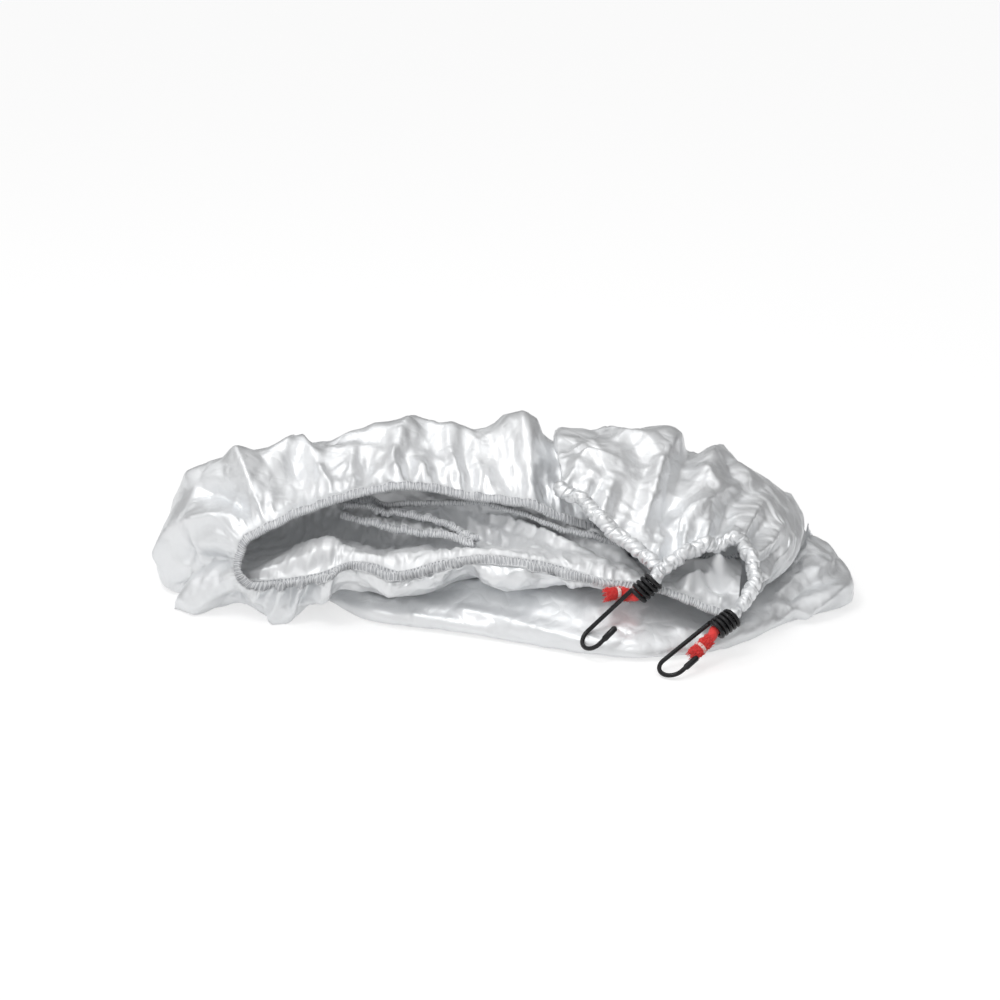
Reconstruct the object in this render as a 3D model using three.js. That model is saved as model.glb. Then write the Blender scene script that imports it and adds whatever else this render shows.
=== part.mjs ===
// Bicycle cover lying collapsed on the ground: a big bag of thin coated cloth
// with an elastic hem, two wire hooks and the frayed ends of its elastic cord.
// Millimetres, +Z up, +Y away from the open side, +X to the hook end.
import * as THREE from 'three';

// ---- driving dimensions (mm) ----
const CLOTH = 1.4;          // coated cloth with its lining, as a sheet
const HEM_THICK = 4.4;      // overlocked elastic hem, through the roll
const HEM_WIDE = 6.5;       // width of that hem
const SLEEVE_THICK = 9.0;   // ruched cord sleeve along the hook-end hem
const SLEEVE_WIDE = 9.5;    // its width
const FLAP_HEM = 3.2;       // thin hem of the loose inner flap
const WIRE = 2.8;           // hook wire diameter
const COIL_RADIUS = 5.5;    // centreline radius of the hook's coil
const COIL_PITCH = 3.15;    // advance per turn
const COIL_TURNS = 4.5;
const SHANK = 36.5;          // straight wire from coil to bend
const BEND_RADIUS = 8.2;    // centreline radius of the open bend
const TIP = 13;             // wire past the bend
const DIP = 3.9;            // diameter of the dipped point
const CORD = 7.2;           // elastic cord with its braid, inside the coil
const FRAY = 8.6;           // the frayed end past the coil
const CENTRE_X = -1.7;      // middle of the heap, taken off so the frame sits under it
const CENTRE_Y = -11.1;
const SETTLE = 0.5;          // cloth lower than this lies flat on the ground

// ---- materials ----
const mat = (color, roughness, metalness) =>
  new THREE.MeshStandardMaterial({ color, roughness, metalness, side: THREE.DoubleSide });
const SILVER = mat(0xc9cdd0, 0.42, 0.35);
const LINING = mat(0xb4b9be, 0.5, 0.25);
const BLACK = mat(0x141518, 0.35, 0.6);
const RED = mat(0xd8242a, 0.8, 0.0);
const PALE = mat(0xe9d8cf, 0.7, 0.0);

// ---- tables: one row per station along the hem, points run from hem outwards ----
// front panel: from the hook end along the top rim, round the closed end, back along the lower lip
const FRONT = [
  //  rim              brow              crown             back              toe              tuck
  [[80, -26, 52], [80, -6, 64], [82, 30, 76], [84, 60, 54], [86, 80, 3], [84, 62, 0.7]],
  [[58, -26, 56], [57, -4, 69], [54, 35, 82], [57, 67, 58], [60, 83, 3], [60, 62, 0.7]],
  [[34, -20, 61], [33, 2, 76], [30, 38, 97.8], [34, 76, 62], [36, 91, 3], [36, 70, 0.7]],
  [[9, -15, 67], [8, 6, 82], [7, 45, 105], [7, 83, 66], [8, 99, 3], [8, 72, 0.7]],
  [[-17, -12, 74], [-18, 8, 88], [-19, 45, 105], [-20, 84, 66], [-20, 100, 3], [-20, 72, 0.7]],
  [[-42, -12, 78], [-43, 10, 92], [-43, 45, 103], [-45, 84, 64], [-46, 99, 3], [-45, 72, 0.7]],
  [[-67, -15, 78], [-68, 8, 93], [-69, 45, 109], [-70, 84, 66], [-71, 98, 3], [-70, 72, 0.7]],
  [[-92, -20, 77], [-93, 6, 91], [-94, 42, 107], [-95, 80, 64], [-96, 96, 3], [-95, 70, 0.7]],
  [[-114, -27, 72], [-116, 0, 85], [-120, 35, 96], [-122, 74, 60], [-123, 92, 3], [-121, 68, 0.7]],
  [[-135, -33, 67], [-138, -4, 81], [-143, 30, 95], [-147, 68, 58], [-150, 87, 3], [-147, 64, 0.7]],
  [[-152, -38, 60], [-160, -10, 73], [-172, 27, 93], [-182, 56, 60], [-187, 78, 3], [-178, 60, 0.7]],
  [[-161, -41, 54], [-174, -17, 65], [-196, 22, 80], [-209, 44, 50], [-212, 62, 3], [-198, 54, 0.7]],
  [[-164, -43, 48], [-183, -23, 53], [-209, 17, 63], [-223, 32, 36], [-226, 46, 3], [-208, 46, 0.7]],
  [[-166, -45, 43.5], [-187, -30, 42], [-210, -2, 39], [-224, 16, 22], [-228, 32, 4], [-211, 36, 0.7]],
  [[-166, -46.5, 39.5], [-186, -33, 34], [-205, -17, 24], [-215, -5, 12], [-221, 8, 2], [-208, 24, 0.7]],
  [[-163.5, -48.5, 34.5], [-177, -40, 26], [-192, -29, 14], [-201, -19, 1.8], [-195, 0, 0.7], [-186, 18, 0.7]],
  [[-160, -51, 30], [-166, -45, 20], [-174, -35, 9], [-177, -24, 1.6], [-171, -4, 0.7], [-165, 12, 0.7]],
  [[-146, -55, 29], [-148, -49, 18], [-150, -42, 8], [-150, -33, 1.6], [-148, -16, 0.7], [-145, 4, 0.7]],
  [[-132, -57, 30], [-134, -53, 20], [-136, -50, 8], [-137, -45, 1.4], [-134, -24, 1.6], [-131, 0, 4]],
  [[-117, -58, 36], [-118, -56, 28], [-120, -52, 20], [-120, -46, 12.2], [-117, -28, 10.4], [-115, -4, 12.4]],
  [[-103, -59, 45], [-104, -59, 39], [-105, -57, 34], [-105, -52, 27.2], [-104, -34, 20.9], [-103, -8, 19.4]],
  [[-87, -62, 47], [-87, -63, 40], [-88, -62, 33], [-88, -56, 25.7], [-88, -38, 20.9], [-88, -10, 20.4]],
  [[-69, -66, 41], [-69, -66, 35], [-70, -64, 29], [-70, -57, 23.2], [-70, -38, 20.9], [-70, -10, 21.4]],
  [[-47, -66, 47], [-46, -67, 41], [-44, -65, 35], [-44, -58, 29.2], [-44, -38, 24.4], [-44, -10, 24.9]],
  [[-26, -66, 53], [-25, -66, 48], [-23, -63, 43], [-23, -56, 38.2], [-22, -40, 32.4], [-20, -12, 30.4]],
  [[-3, -69, 54], [-2, -70, 48], [-2, -68, 40], [-2, -62, 34.2], [-1, -44, 31.4], [0, -16, 32.4]],
  [[28, -75, 50], [28, -77, 46], [28, -75, 40], [28, -69, 35.7], [28, -50, 32.9], [28, -22, 33.4]],
  [[48, -80, 47], [48, -81, 43.5], [48, -79, 39], [48, -73, 35], [48, -55, 33], [48, -27, 34]],
  [[64, -79, 42], [65, -79, 39], [65, -75.5, 36.2], [65, -70, 34], [65, -54, 32.8], [65, -30, 33.4]],
];
// hook-end panel: along the ruched sleeve from the middle of the heap to the last hook
const REAR = [
  //  sleeve          gather            mid               crown             back             toe              tuck
  [[43, -33, 78], [45, -18, 81], [47, 2, 86], [48, 34, 91], [50, 80, 66], [52, 98, 8], [52, 90, 3]],
  [[33, -37, 84], [32, -24, 90], [32, -3, 96], [34, 32, 100], [38, 82, 70], [40, 104, 4], [42, 92, 0.7]],
  [[46, -44, 80], [46, -29, 88], [48, -6, 99], [51, 34, 104], [54, 85, 72], [56, 107, 4], [56, 90, 0.7]],
  [[59, -56, 69], [61, -40, 79], [65, -12, 95], [69, 36, 105], [72, 85, 72], [74, 108, 4], [74, 90, 0.7]],
  [[72, -67, 61], [77, -50, 71], [82, -18, 91], [88, 37, 104], [92, 84, 70], [94, 108, 4], [93, 90, 0.7]],
  [[84, -78, 55], [91, -57, 66], [98, -22, 86], [106, 36, 101], [110, 82, 66], [112, 106, 4], [110, 88, 0.7]],
  [[93.5, -85, 52], [101, -61, 61], [109, -26, 79], [120, 33, 91], [124, 79, 60], [126, 103, 4], [124, 85, 0.7]],
  [[102, -80, 55], [108, -59, 63], [117, -25, 77], [130, 31, 88], [135, 77, 58], [138, 100, 4], [136, 82, 0.7]],
  [[113, -74, 58], [118, -56, 66], [126, -22, 76], [138, 29, 86], [144, 75, 57], [148, 98, 4], [146, 80, 0.7]],
  [[128, -66, 60], [132, -49, 66], [139, -18, 72], [151, 25, 79], [157, 70, 53], [161, 94, 4], [158, 76, 0.7]],
  [[142, -61, 60], [147, -45, 64], [154, -14, 66], [167, 20, 69], [174, 62, 48], [179, 87, 4], [175, 70, 0.7]],
  [[149, -70, 50], [157, -53, 52], [166, -22, 55], [180, 13, 59], [189, 52, 42], [194, 78, 4], [190, 62, 0.7]],
  [[148, -82, 39], [156, -66, 38], [169, -38, 38], [185, -5, 46], [195, 32, 43], [202, 64, 8], [198, 58, 3]],
  [[140, -93, 28], [146, -83, 26.5], [158, -60, 26], [178, -28, 32], [192, 2, 37], [198, 26, 38], [200, 46, 34]],
];
// folded-under base panel: the layer under the heap, its long front fold and the face above it
const BASE = [
  //  under rear       under             front low         nose              lift              face             top              deck             deck rear
  [[-108, 20, 0.7], [-109, 0, 0.7], [-110, -22, 0.9], [-111, -28, 3.8], [-110, -26, 8], [-109, -19, 12], [-108, -8, 14.5], [-107, 8, 15], [-107, 24, 15]],
  [[-90, 20, 0.7], [-90, -10, 0.7], [-90, -38, 0.9], [-90, -45, 4.2], [-90, -42, 10], [-90, -33, 15], [-90, -20, 17.5], [-90, 0, 18], [-90, 24, 18]],
  [[-67, 20, 0.7], [-67, -15, 0.7], [-67, -49, 0.9], [-67, -55, 4.2], [-67, -52, 10], [-67, -42, 15.5], [-67, -26, 18.5], [-67, 0, 19], [-67, 24, 19]],
  [[-42, 20, 0.7], [-42, -20, 0.7], [-42, -57, 0.9], [-42, -63, 4.2], [-42, -60, 10], [-42, -50, 16.5], [-42, -32, 21], [-42, -5, 22], [-42, 22, 22]],
  [[-16, 18, 0.7], [-16, -26, 0.7], [-16, -66, 0.9], [-16, -72, 4.2], [-16, -69, 10], [-16, -58, 18], [-16, -42, 26], [-16, -12, 27], [-16, 18, 27]],
  [[10, 14, 0.7], [10, -30, 0.7], [10, -77, 0.9], [10, -83, 4.2], [10, -80, 10], [10, -68, 19.5], [10, -51, 28], [10, -20, 29], [10, 12, 29]],
  [[33, 10, 0.7], [33, -36, 0.7], [33, -89, 0.9], [33, -95, 4.2], [33, -91, 10], [33, -77, 21], [33, -60, 29.5], [33, -28, 30], [33, 8, 30]],
  [[58, 6, 0.7], [58, -42, 0.7], [58, -97, 0.9], [58, -103, 4.2], [58, -98, 10], [58, -83, 21.5], [58, -66, 29.5], [58, -34, 30.5], [58, 4, 30.5]],
  [[82, 4, 0.7], [82, -44, 0.7], [82, -101, 0.9], [82, -107, 4.2], [82, -102, 10], [82, -88, 20], [82, -70, 28], [82, -40, 29.5], [82, 2, 30]],
  [[107, 6, 0.7], [107, -42, 0.7], [107, -98, 0.9], [107, -104, 4.2], [107, -99, 9], [107, -87, 15], [107, -69, 21.5], [107, -42, 26.5], [107, 4, 30]],
  [[125, 8, 0.7], [125, -36, 0.7], [125, -92, 0.9], [125, -98, 4.4], [125, -93, 9], [125, -81, 13], [125, -64, 17.5], [125, -38, 24], [125, 6, 30]],
  [[145, 12, 0.7], [145, -28, 0.7], [145, -76, 0.9], [145, -83, 5], [145, -79, 10.5], [145, -66, 15], [145, -49, 19], [145, -25, 25], [145, 10, 31]],
  [[165, 16, 0.7], [165, -16, 0.7], [166, -57, 0.9], [167, -65, 6], [166, -62, 13], [165, -51, 17.5], [165, -38, 21.5], [164, -10, 29], [162, 18, 32]],
  [[186, 24, 0.7], [187, 0, 0.7], [189, -34, 0.9], [190, -42, 8], [191, -41, 18], [188, -32, 23], [186, -20, 27], [184, 4, 32], [180, 26, 33]],
  [[202, 34, 0.7], [205, 6, 0.7], [208, -25, 0.9], [210, -32, 7.5], [209, -29, 17], [206, -20, 22.5], [203, -8, 27], [198, 10, 33], [190, 32, 33]],
  [[204, 42, 0.7], [212, 14, 0.7], [220, -18, 0.9], [224, -21, 5], [222, -15, 12], [217, -6, 18], [212, 3, 23.5], [203, 17, 30], [192, 38, 31]],
  [[204, 48, 0.7], [213, 28, 0.7], [222, 4, 0.9], [226, 5, 4], [224, 8, 9], [219, 12, 15], [213, 18, 21], [204, 27, 27], [193, 42, 29]],
  [[202, 50, 0.7], [209, 42, 0.7], [216, 34, 0.9], [219, 36, 4], [218, 37, 8], [214, 38, 12], [208, 39, 17], [201, 42, 22], [193, 46, 25]],
];
// inner layer seen through the mouth: low hump, hollow, then the upper hem
const INNER = [
  //  toe             crest             dip               rear              rise             hem
  [[-157, -42, 31.5], [-158, -36, 33.5], [-159, -24, 33], [-159, -6, 32], [-158, 8, 32], [-157, 20, 34]],
  [[-138, -47, 31], [-138, -30, 44], [-138, -14, 38], [-138, 8, 34], [-138, 24, 40], [-138, 33, 52]],
  [[-115, -49, 37], [-114, -28, 48.5], [-114, -12, 40], [-114, 10, 36], [-112, 26, 46], [-112, 28, 60]],
  [[-99, -50, 42], [-98, -34, 46], [-96, -14, 38], [-95, 10, 36], [-93, 24, 49], [-93, 16, 64]],
  [[-84, -53, 42], [-84, -41, 45], [-82, -18, 38], [-82, 8, 37], [-80, 20, 50], [-78, 4, 65]],
  [[-67, -57, 40], [-67, -41, 49], [-66, -20, 40], [-65, 6, 39], [-64, 18, 54], [-66, -2, 68.5]],
  [[-42, -57, 45], [-42, -44, 50], [-42, -24, 43], [-41, 2, 42], [-40, 18, 55], [-40, -2, 67]],
  [[-16, -60, 48], [-16, -50, 51], [-16, -36, 48], [-15, -8, 47], [-14, 12, 55], [-14, -6, 63]],
  [[12, -64, 46.5], [12, -58, 50.5], [12, -44, 50.5], [12, -20, 49], [13, 2, 51.5], [13, -14, 58.5]],
  [[33, -70, 44], [34, -65, 48.5], [33, -50, 49], [33, -30, 47.5], [33, -8, 48.5], [33, -24, 55]],
  [[57, -75.6, 41.5], [57, -70, 46], [56, -58, 48], [56, -42, 47.5], [56, -20, 47.5], [55, -37, 54.5]],
  [[75, -77.6, 38.4], [76, -72, 41], [76, -60, 43], [76, -46, 43.5], [76, -26, 43], [76, -40, 49]],
  [[93, -83, 36.8], [94, -74, 38.5], [95, -60, 39.5], [96, -44, 40], [97, -28, 40.5], [97, -36, 47]],
  [[112, -87, 31.5], [113, -78, 33.5], [114, -64, 36.5], [116, -46, 38.5], [117, -30, 40], [117, -40, 46]],
  [[129, -90, 25.5], [131, -80, 27], [133, -67, 30], [135, -52, 34], [136, -38, 36], [136, -46, 42]],
];
// loose flap folded back on itself, a hem on both edges
const FLAP = [
  //  lower hem        fold             upper hem
  [[-106, -11, 58.5], [-105, 4, 61], [-104, -7, 65]],
  [[-91, -14, 55.5], [-90, 4, 58.5], [-89, -7, 63.5]],
  [[-75, -16, 53.5], [-74, 4, 57], [-73, -9, 61.5]],
  [[-55, -21, 52.5], [-54, 0, 56], [-54, -13, 60]],
  [[-40, -27, 51.2], [-39, -6, 54.6], [-39, -20, 58.2]],
  [[-28, -36, 50.6], [-26, -16, 53.2], [-26, -30, 56.6]],
  [[-20, -43, 52], [-17, -28, 54.6], [-17, -40, 58]],
];

// main folds: from, to as (station 0-1, outward 0-1), width and rise in mm
const FRONT_FOLDS = [
  { at: [0.088, 0.05], to: [0.084, 0.20], width: 8, rise: -4 },
  { at: [0.125, 0.05], to: [0.116, 0.30], width: 9, rise: 3 },
  { at: [0.160, 0.04], to: [0.152, 0.30], width: 9, rise: -4 },
  { at: [0.198, 0.06], to: [0.194, 0.19], width: 8, rise: 4 },
  { at: [0.230, 0.04], to: [0.220, 0.18], width: 8, rise: -5 },
  { at: [0.266, 0.05], to: [0.252, 0.24], width: 9, rise: 4 },
  { at: [0.300, 0.04], to: [0.322, 0.30], width: 9, rise: -4 },
  { at: [0.350, 0.04], to: [0.382, 0.30], width: 10, rise: 4 },
  { at: [0.395, 0.05], to: [0.424, 0.36], width: 9, rise: -4 },
  { at: [0.430, 0.10], to: [0.448, 0.44], width: 9, rise: 3 },
  { at: [0.466, 0.06], to: [0.470, 0.74], width: 6, rise: -6 },
  { at: [0.510, 0.14], to: [0.515, 0.44], width: 9, rise: 4 },
  { at: [0.575, 0.10], to: [0.570, 0.30], width: 8, rise: -3 },
  { at: [0.700, 0.06], to: [0.705, 0.24], width: 8, rise: -3 },
  { at: [0.810, 0.06], to: [0.815, 0.26], width: 8, rise: 3 },
  { at: [0.100, 0.46], to: [0.135, 0.74], width: 12, rise: 3 },
  { at: [0.205, 0.42], to: [0.180, 0.72], width: 12, rise: -4 },
  { at: [0.285, 0.42], to: [0.305, 0.70], width: 12, rise: 3 },
  { at: [0.370, 0.46], to: [0.360, 0.70], width: 11, rise: -3 },
];
const REAR_FOLDS = [
  { at: [0.165, 0.10], to: [0.200, 0.36], width: 9, rise: 3 },
  { at: [0.240, 0.10], to: [0.290, 0.40], width: 9, rise: -5 },
  { at: [0.330, 0.10], to: [0.370, 0.42], width: 10, rise: 4 },
  { at: [0.460, 0.12], to: [0.465, 0.55], width: 12, rise: -8 },
  { at: [0.560, 0.10], to: [0.550, 0.40], width: 9, rise: 4 },
  { at: [0.640, 0.10], to: [0.630, 0.38], width: 9, rise: -4 },
  { at: [0.715, 0.10], to: [0.715, 0.42], width: 10, rise: 4 },
  { at: [0.790, 0.10], to: [0.795, 0.40], width: 9, rise: -4 },
  { at: [0.870, 0.10], to: [0.880, 0.42], width: 10, rise: 4 },
  { at: [0.260, 0.56], to: [0.310, 0.80], width: 11, rise: -3 },
  { at: [0.600, 0.56], to: [0.550, 0.80], width: 12, rise: 3 },
];
const BASE_FOLDS = [
  { at: [0.10, 0.42], to: [0.46, 0.36], width: 6, rise: 1.5 },
  { at: [0.58, 0.42], to: [0.82, 0.42], width: 6, rise: 2 },
];

// ---- helpers ----
const V = (p) => new THREE.Vector3(p[0], p[1], p[2]);
const lerp = (a, b, f) => a + (b - a) * f;
const smooth = (x) => { const u = Math.min(Math.max(x, 0), 1); return u * u * (3 - 2 * u); };

// edge profile of a hem: distance in from the edge and the half thickness there
const hemProfile = (thick, wide) => [
  [0, thick * 0.27], [wide * 0.18, thick * 0.45], [wide * 0.5, thick * 0.5],
  [wide * 0.82, thick * 0.43], [wide * 1.06, Math.max(thick * 0.2, CLOTH * 0.55)], [wide * 1.4, CLOTH / 2],
];

// distances across a panel: hem rows first, then even rows, then the far hem if it has one
function acrossRows(length, rows, near, far) {
  const start = near ? near.map((r) => r) : [[0, CLOTH / 2]];
  const end = far ? far.map((r) => [length - r[0], r[1]]).reverse() : [[length, CLOTH / 2]];
  const from = start[start.length - 1][0], to = end[0][0];
  const even = [];
  for (let i = 1; i < rows; i++) even.push([lerp(from, to, i / rows), CLOTH / 2]);
  return [...start, ...even, ...end];
}

// rise of the folds at a place on the panel
function foldRise(folds, s, t, lengthS, lengthT) {
  let rise = 0;
  for (const f of folds) {
    const ax = f.at[0] * lengthS, ay = f.at[1] * lengthT;
    const dx = f.to[0] * lengthS - ax, dy = f.to[1] * lengthT - ay;
    const px = s * lengthS - ax, py = t * lengthT - ay;
    const u = Math.min(Math.max((px * dx + py * dy) / (dx * dx + dy * dy), 0), 1);
    const d = Math.hypot(px - u * dx, py - u * dy) / f.width;
    rise += f.rise * Math.exp(-d * d);
  }
  return rise;
}

// a panel: stations joined by smooth curves both ways, thickened to both sides and closed
function panel(name, material, table, along, rows, { near = null, far = null, folds = [], out = 1 } = {}) {
  const curves = table.map((row) => new THREE.CatmullRomCurve3(row.map(V), false, 'centripetal'));
  curves.forEach((c) => { c.arcLengthDivisions = 120; });
  const levels = curves.map((c) => acrossRows(c.getLength(), rows, near, far));
  const nT = levels[0].length, nS = along + 1;
  const meanT = curves.reduce((a, c) => a + c.getLength(), 0) / curves.length;
  const grid = [], half = [];
  for (let j = 0; j < nT; j++) {
    const knots = curves.map((c, i) => c.getPointAt(Math.min(levels[i][j][0] / c.getLength(), 1)));
    const line = new THREE.CatmullRomCurve3(knots, false, 'centripetal');
    grid.push(Array.from({ length: nS }, (_, i) => line.getPoint(i / along)));
    half.push(levels[0][j][1]);
  }
  const across = levels[0].map((_, j) => levels.reduce((a, l) => a + l[j][0], 0) / levels.length / meanT);
  const lengthS = new THREE.CatmullRomCurve3(grid[Math.floor(nT / 2)], false, 'centripetal').getLength();
  const at = (j, i) => grid[Math.min(Math.max(j, 0), nT - 1)][Math.min(Math.max(i, 0), nS - 1)];
  const normalAt = (j, i) => {
    const dt = at(j + 1, i).clone().sub(at(j - 1, i));
    const ds = at(j, i + 1).clone().sub(at(j, i - 1));
    return ds.cross(dt).normalize().multiplyScalar(out);
  };
  if (folds.length) {
    const moved = grid.map((line, j) => line.map((p, i) => {
      const t = across[j], s = i / along;
      return p.clone().addScaledVector(normalAt(j, i), foldRise(folds, s, t, lengthS, meanT));
    }));
    moved.forEach((line, j) => { grid[j] = line; });
  }
  const position = [], index = [];
  for (const side of [1, -1])
    for (let j = 0; j < nT; j++)
      for (let i = 0; i < nS; i++) {
        const p = at(j, i).clone().addScaledVector(normalAt(j, i), side * half[j]);
        position.push(p.x, p.y, p.z < SETTLE ? 0 : p.z);
      }
  const id = (side, j, i) => side * nT * nS + j * nS + i;
  const quad = (a, b, c, d) => index.push(a, b, c, a, c, d);
  for (let j = 0; j < nT - 1; j++)
    for (let i = 0; i < nS - 1; i++) {
      quad(id(0, j, i), id(0, j, i + 1), id(0, j + 1, i + 1), id(0, j + 1, i));
      quad(id(1, j, i), id(1, j + 1, i), id(1, j + 1, i + 1), id(1, j, i + 1));
    }
  for (let i = 0; i < nS - 1; i++) {
    quad(id(1, 0, i), id(1, 0, i + 1), id(0, 0, i + 1), id(0, 0, i));
    quad(id(0, nT - 1, i), id(0, nT - 1, i + 1), id(1, nT - 1, i + 1), id(1, nT - 1, i));
  }
  for (let j = 0; j < nT - 1; j++) {
    quad(id(0, j, 0), id(0, j + 1, 0), id(1, j + 1, 0), id(1, j, 0));
    quad(id(1, j, nS - 1), id(1, j + 1, nS - 1), id(0, j + 1, nS - 1), id(0, j, nS - 1));
  }
  return mesh(name, material, position, index);
}

// closed mesh from positions and triangles, turned outward
function mesh(name, material, position, index) {
  let volume = 0;
  const p = (k) => new THREE.Vector3().fromArray(position, k * 3);
  for (let k = 0; k < index.length; k += 3)
    volume += p(index[k]).dot(p(index[k + 1]).cross(p(index[k + 2]))) / 6;
  if (volume < 0)
    for (let k = 0; k < index.length; k += 3) [index[k + 1], index[k + 2]] = [index[k + 2], index[k + 1]];
  const g = new THREE.BufferGeometry();
  g.setAttribute('position', new THREE.Float32BufferAttribute(position, 3));
  g.setIndex(index);
  g.computeVertexNormals();
  const m = new THREE.Mesh(g, material);
  m.name = name;
  return m;
}

// a round rod along points, its radius given at each point, flat ends
function rod(name, material, points, radii, sides) {
  const position = [], index = [], n = points.length;
  let side = new THREE.Vector3(0, 0, 1);
  for (let i = 0; i < n; i++) {
    const ahead = points[Math.min(i + 1, n - 1)].clone().sub(points[Math.max(i - 1, 0)]).normalize();
    side = side.clone().addScaledVector(ahead, -side.dot(ahead)).normalize();
    const up = ahead.clone().cross(side);
    for (let k = 0; k < sides; k++) {
      const a = (k / sides) * 2 * Math.PI;
      const q = points[i].clone().addScaledVector(side, radii[i] * Math.cos(a)).addScaledVector(up, radii[i] * Math.sin(a));
      position.push(q.x, q.y, q.z);
    }
  }
  for (let i = 0; i < n - 1; i++)
    for (let k = 0; k < sides; k++) {
      const a = i * sides + k, b = i * sides + ((k + 1) % sides);
      index.push(a, b, b + sides, a, b + sides, a + sides);
    }
  for (const [end, flip] of [[0, true], [n - 1, false]]) {
    position.push(points[end].x, points[end].y, points[end].z);
    const c = position.length / 3 - 1;
    for (let k = 0; k < sides; k++) {
      const a = end * sides + k, b = end * sides + ((k + 1) % sides);
      if (flip) index.push(c, b, a); else index.push(c, a, b);
    }
  }
  return mesh(name, material, position, index);
}

// a wire hook: coil round the cord, shank, open bend and dipped point
// place: where the coil starts; axis: along the coil and shank; lean: side of the open bend's
// back; leave: angle round the coil, from lean, at which the wire goes over into the shank
function hook(name, { place, axis, lean, leave }) {
  const a = V(axis).normalize();
  const b = V(lean).addScaledVector(a, -V(lean).dot(a)).normalize();
  const c = a.clone().cross(b);
  const at = (x, y, z) => V(place).addScaledVector(a, x).addScaledVector(b, y).addScaledVector(c, z);
  const points = [], radii = [];
  const add = (p, r = WIRE / 2) => { points.push(p); radii.push(r); };
  const perTurn = 12, steps = Math.round(COIL_TURNS * perTurn);
  for (let k = 0; k <= steps; k++) {
    const turn = leave + ((k - steps) / perTurn) * 2 * Math.PI;
    add(at((k / perTurn) * COIL_PITCH, COIL_RADIUS * Math.cos(turn), COIL_RADIUS * Math.sin(turn)));
  }
  const x0 = COIL_TURNS * COIL_PITCH;
  const leaveY = COIL_RADIUS * Math.cos(leave), leaveZ = COIL_RADIUS * Math.sin(leave);
  for (const f of [0.08, 0.2, 0.92]) add(at(x0 + f * SHANK, lerp(leaveY, COIL_RADIUS, f), lerp(leaveZ, 0, f)));
  add(at(x0 + SHANK, COIL_RADIUS, 0));
  const bend = 10;
  for (let k = 1; k <= bend; k++) {
    const g = (k / bend) * Math.PI * 1.06;
    add(at(x0 + SHANK + BEND_RADIUS * Math.sin(g), COIL_RADIUS - BEND_RADIUS * (1 - Math.cos(g)), 0));
  }
  const end = points[points.length - 1], back = end.clone().sub(points[points.length - 2]).normalize();
  add(end.clone().addScaledVector(back, 2));
  add(end.clone().addScaledVector(back, 2.6), DIP / 2);
  add(end.clone().addScaledVector(back, TIP - 0.8), DIP / 2);
  add(end.clone().addScaledVector(back, TIP), DIP / 2 - 0.7);
  return rod(name, BLACK, points, radii, 6);
}

// an elastic cord end: plain through the coil, then two frayed tufts
function cordEnd(name, path) {
  const curve = new THREE.CatmullRomCurve3(path.map(V), false, 'centripetal');
  const size = [[0, 0.8], [0.03, 1], [0.15, 1], [0.3, 1], [0.42, 1], [0.5, 1.1], [0.56, FRAY / CORD], [0.63, 1.1], [0.69, 0.74], [0.75, 0.74], [0.81, 1.05], [0.9, FRAY / CORD], [0.96, 1], [1, 0.6]];
  const points = size.map((s) => curve.getPointAt(s[0]));
  return rod(name, RED, points, size.map((s) => (s[1] * CORD) / 2), 8);
}

// the thread whipped round the cord between its tufts: a short ring
function whipping(name, path, from, to) {
  const curve = new THREE.CatmullRomCurve3(path.map(V), false, 'centripetal');
  const inner = (CORD / 2) * 0.72 + 0.35, outer = inner + 0.9, sides = 10;
  const position = [], index = [];
  for (const u of [from, to]) {
    const o = curve.getPointAt(u), a = curve.getTangentAt(u);
    const side = new THREE.Vector3(0, 0, 1).addScaledVector(a, -a.z).normalize(), up = a.clone().cross(side);
    for (const r of [inner, outer])
      for (let k = 0; k < sides; k++) {
        const g = (k / sides) * 2 * Math.PI;
        const q = o.clone().addScaledVector(side, r * Math.cos(g)).addScaledVector(up, r * Math.sin(g));
        position.push(q.x, q.y, q.z);
      }
  }
  const ring = [0, sides, sides * 3, sides * 2];
  for (let m = 0; m < 4; m++)
    for (let k = 0; k < sides; k++) {
      const n = (k + 1) % sides, p = ring[m], q = ring[(m + 1) % 4];
      index.push(p + k, q + k, q + n, p + k, q + n, p + n);
    }
  return mesh(name, PALE, position, index);
}

// ---- where the hooks hang ----
const HOOK_LEFT = { place: [89.8, -88.8, 47.4], axis: [-0.74, -0.19, -0.63], lean: [-0.80, 0.48, -0.36], leave: -1.5, reach: -5.2 };
const HOOK_RIGHT = { place: [137.4, -95.5, 25.5], axis: [-0.79, -0.50, -0.395], lean: [-0.87, 0.48, -0.10], leave: -0.8, reach: -3.1 };
// reach: how far the cord starts before the coil, close under the sleeve it comes out of
// cord ends: straight through the coil, then where the frayed end lies
const CORD_LEFT_END = [[75, -88.3, 36.6], [70.5, -86.2, 37.2], [65.5, -87.8, 38], [61, -88.8, 37.6]];
const CORD_RIGHT_END = [[124.6, -105.5, 18.2], [121, -109.5, 15.6], [116.5, -113.5, 12.6], [111.5, -117.5, 10]];
function cordPath({ place, axis, reach }, end) {
  const a = V(axis).normalize(), inCoil = [reach, 4, 8, 12, 15].map((x) => V(place).addScaledVector(a, x).toArray());
  return [...inCoil, ...end];
}
const CORD_LEFT = cordPath(HOOK_LEFT, CORD_LEFT_END);
const CORD_RIGHT = cordPath(HOOK_RIGHT, CORD_RIGHT_END);

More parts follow.
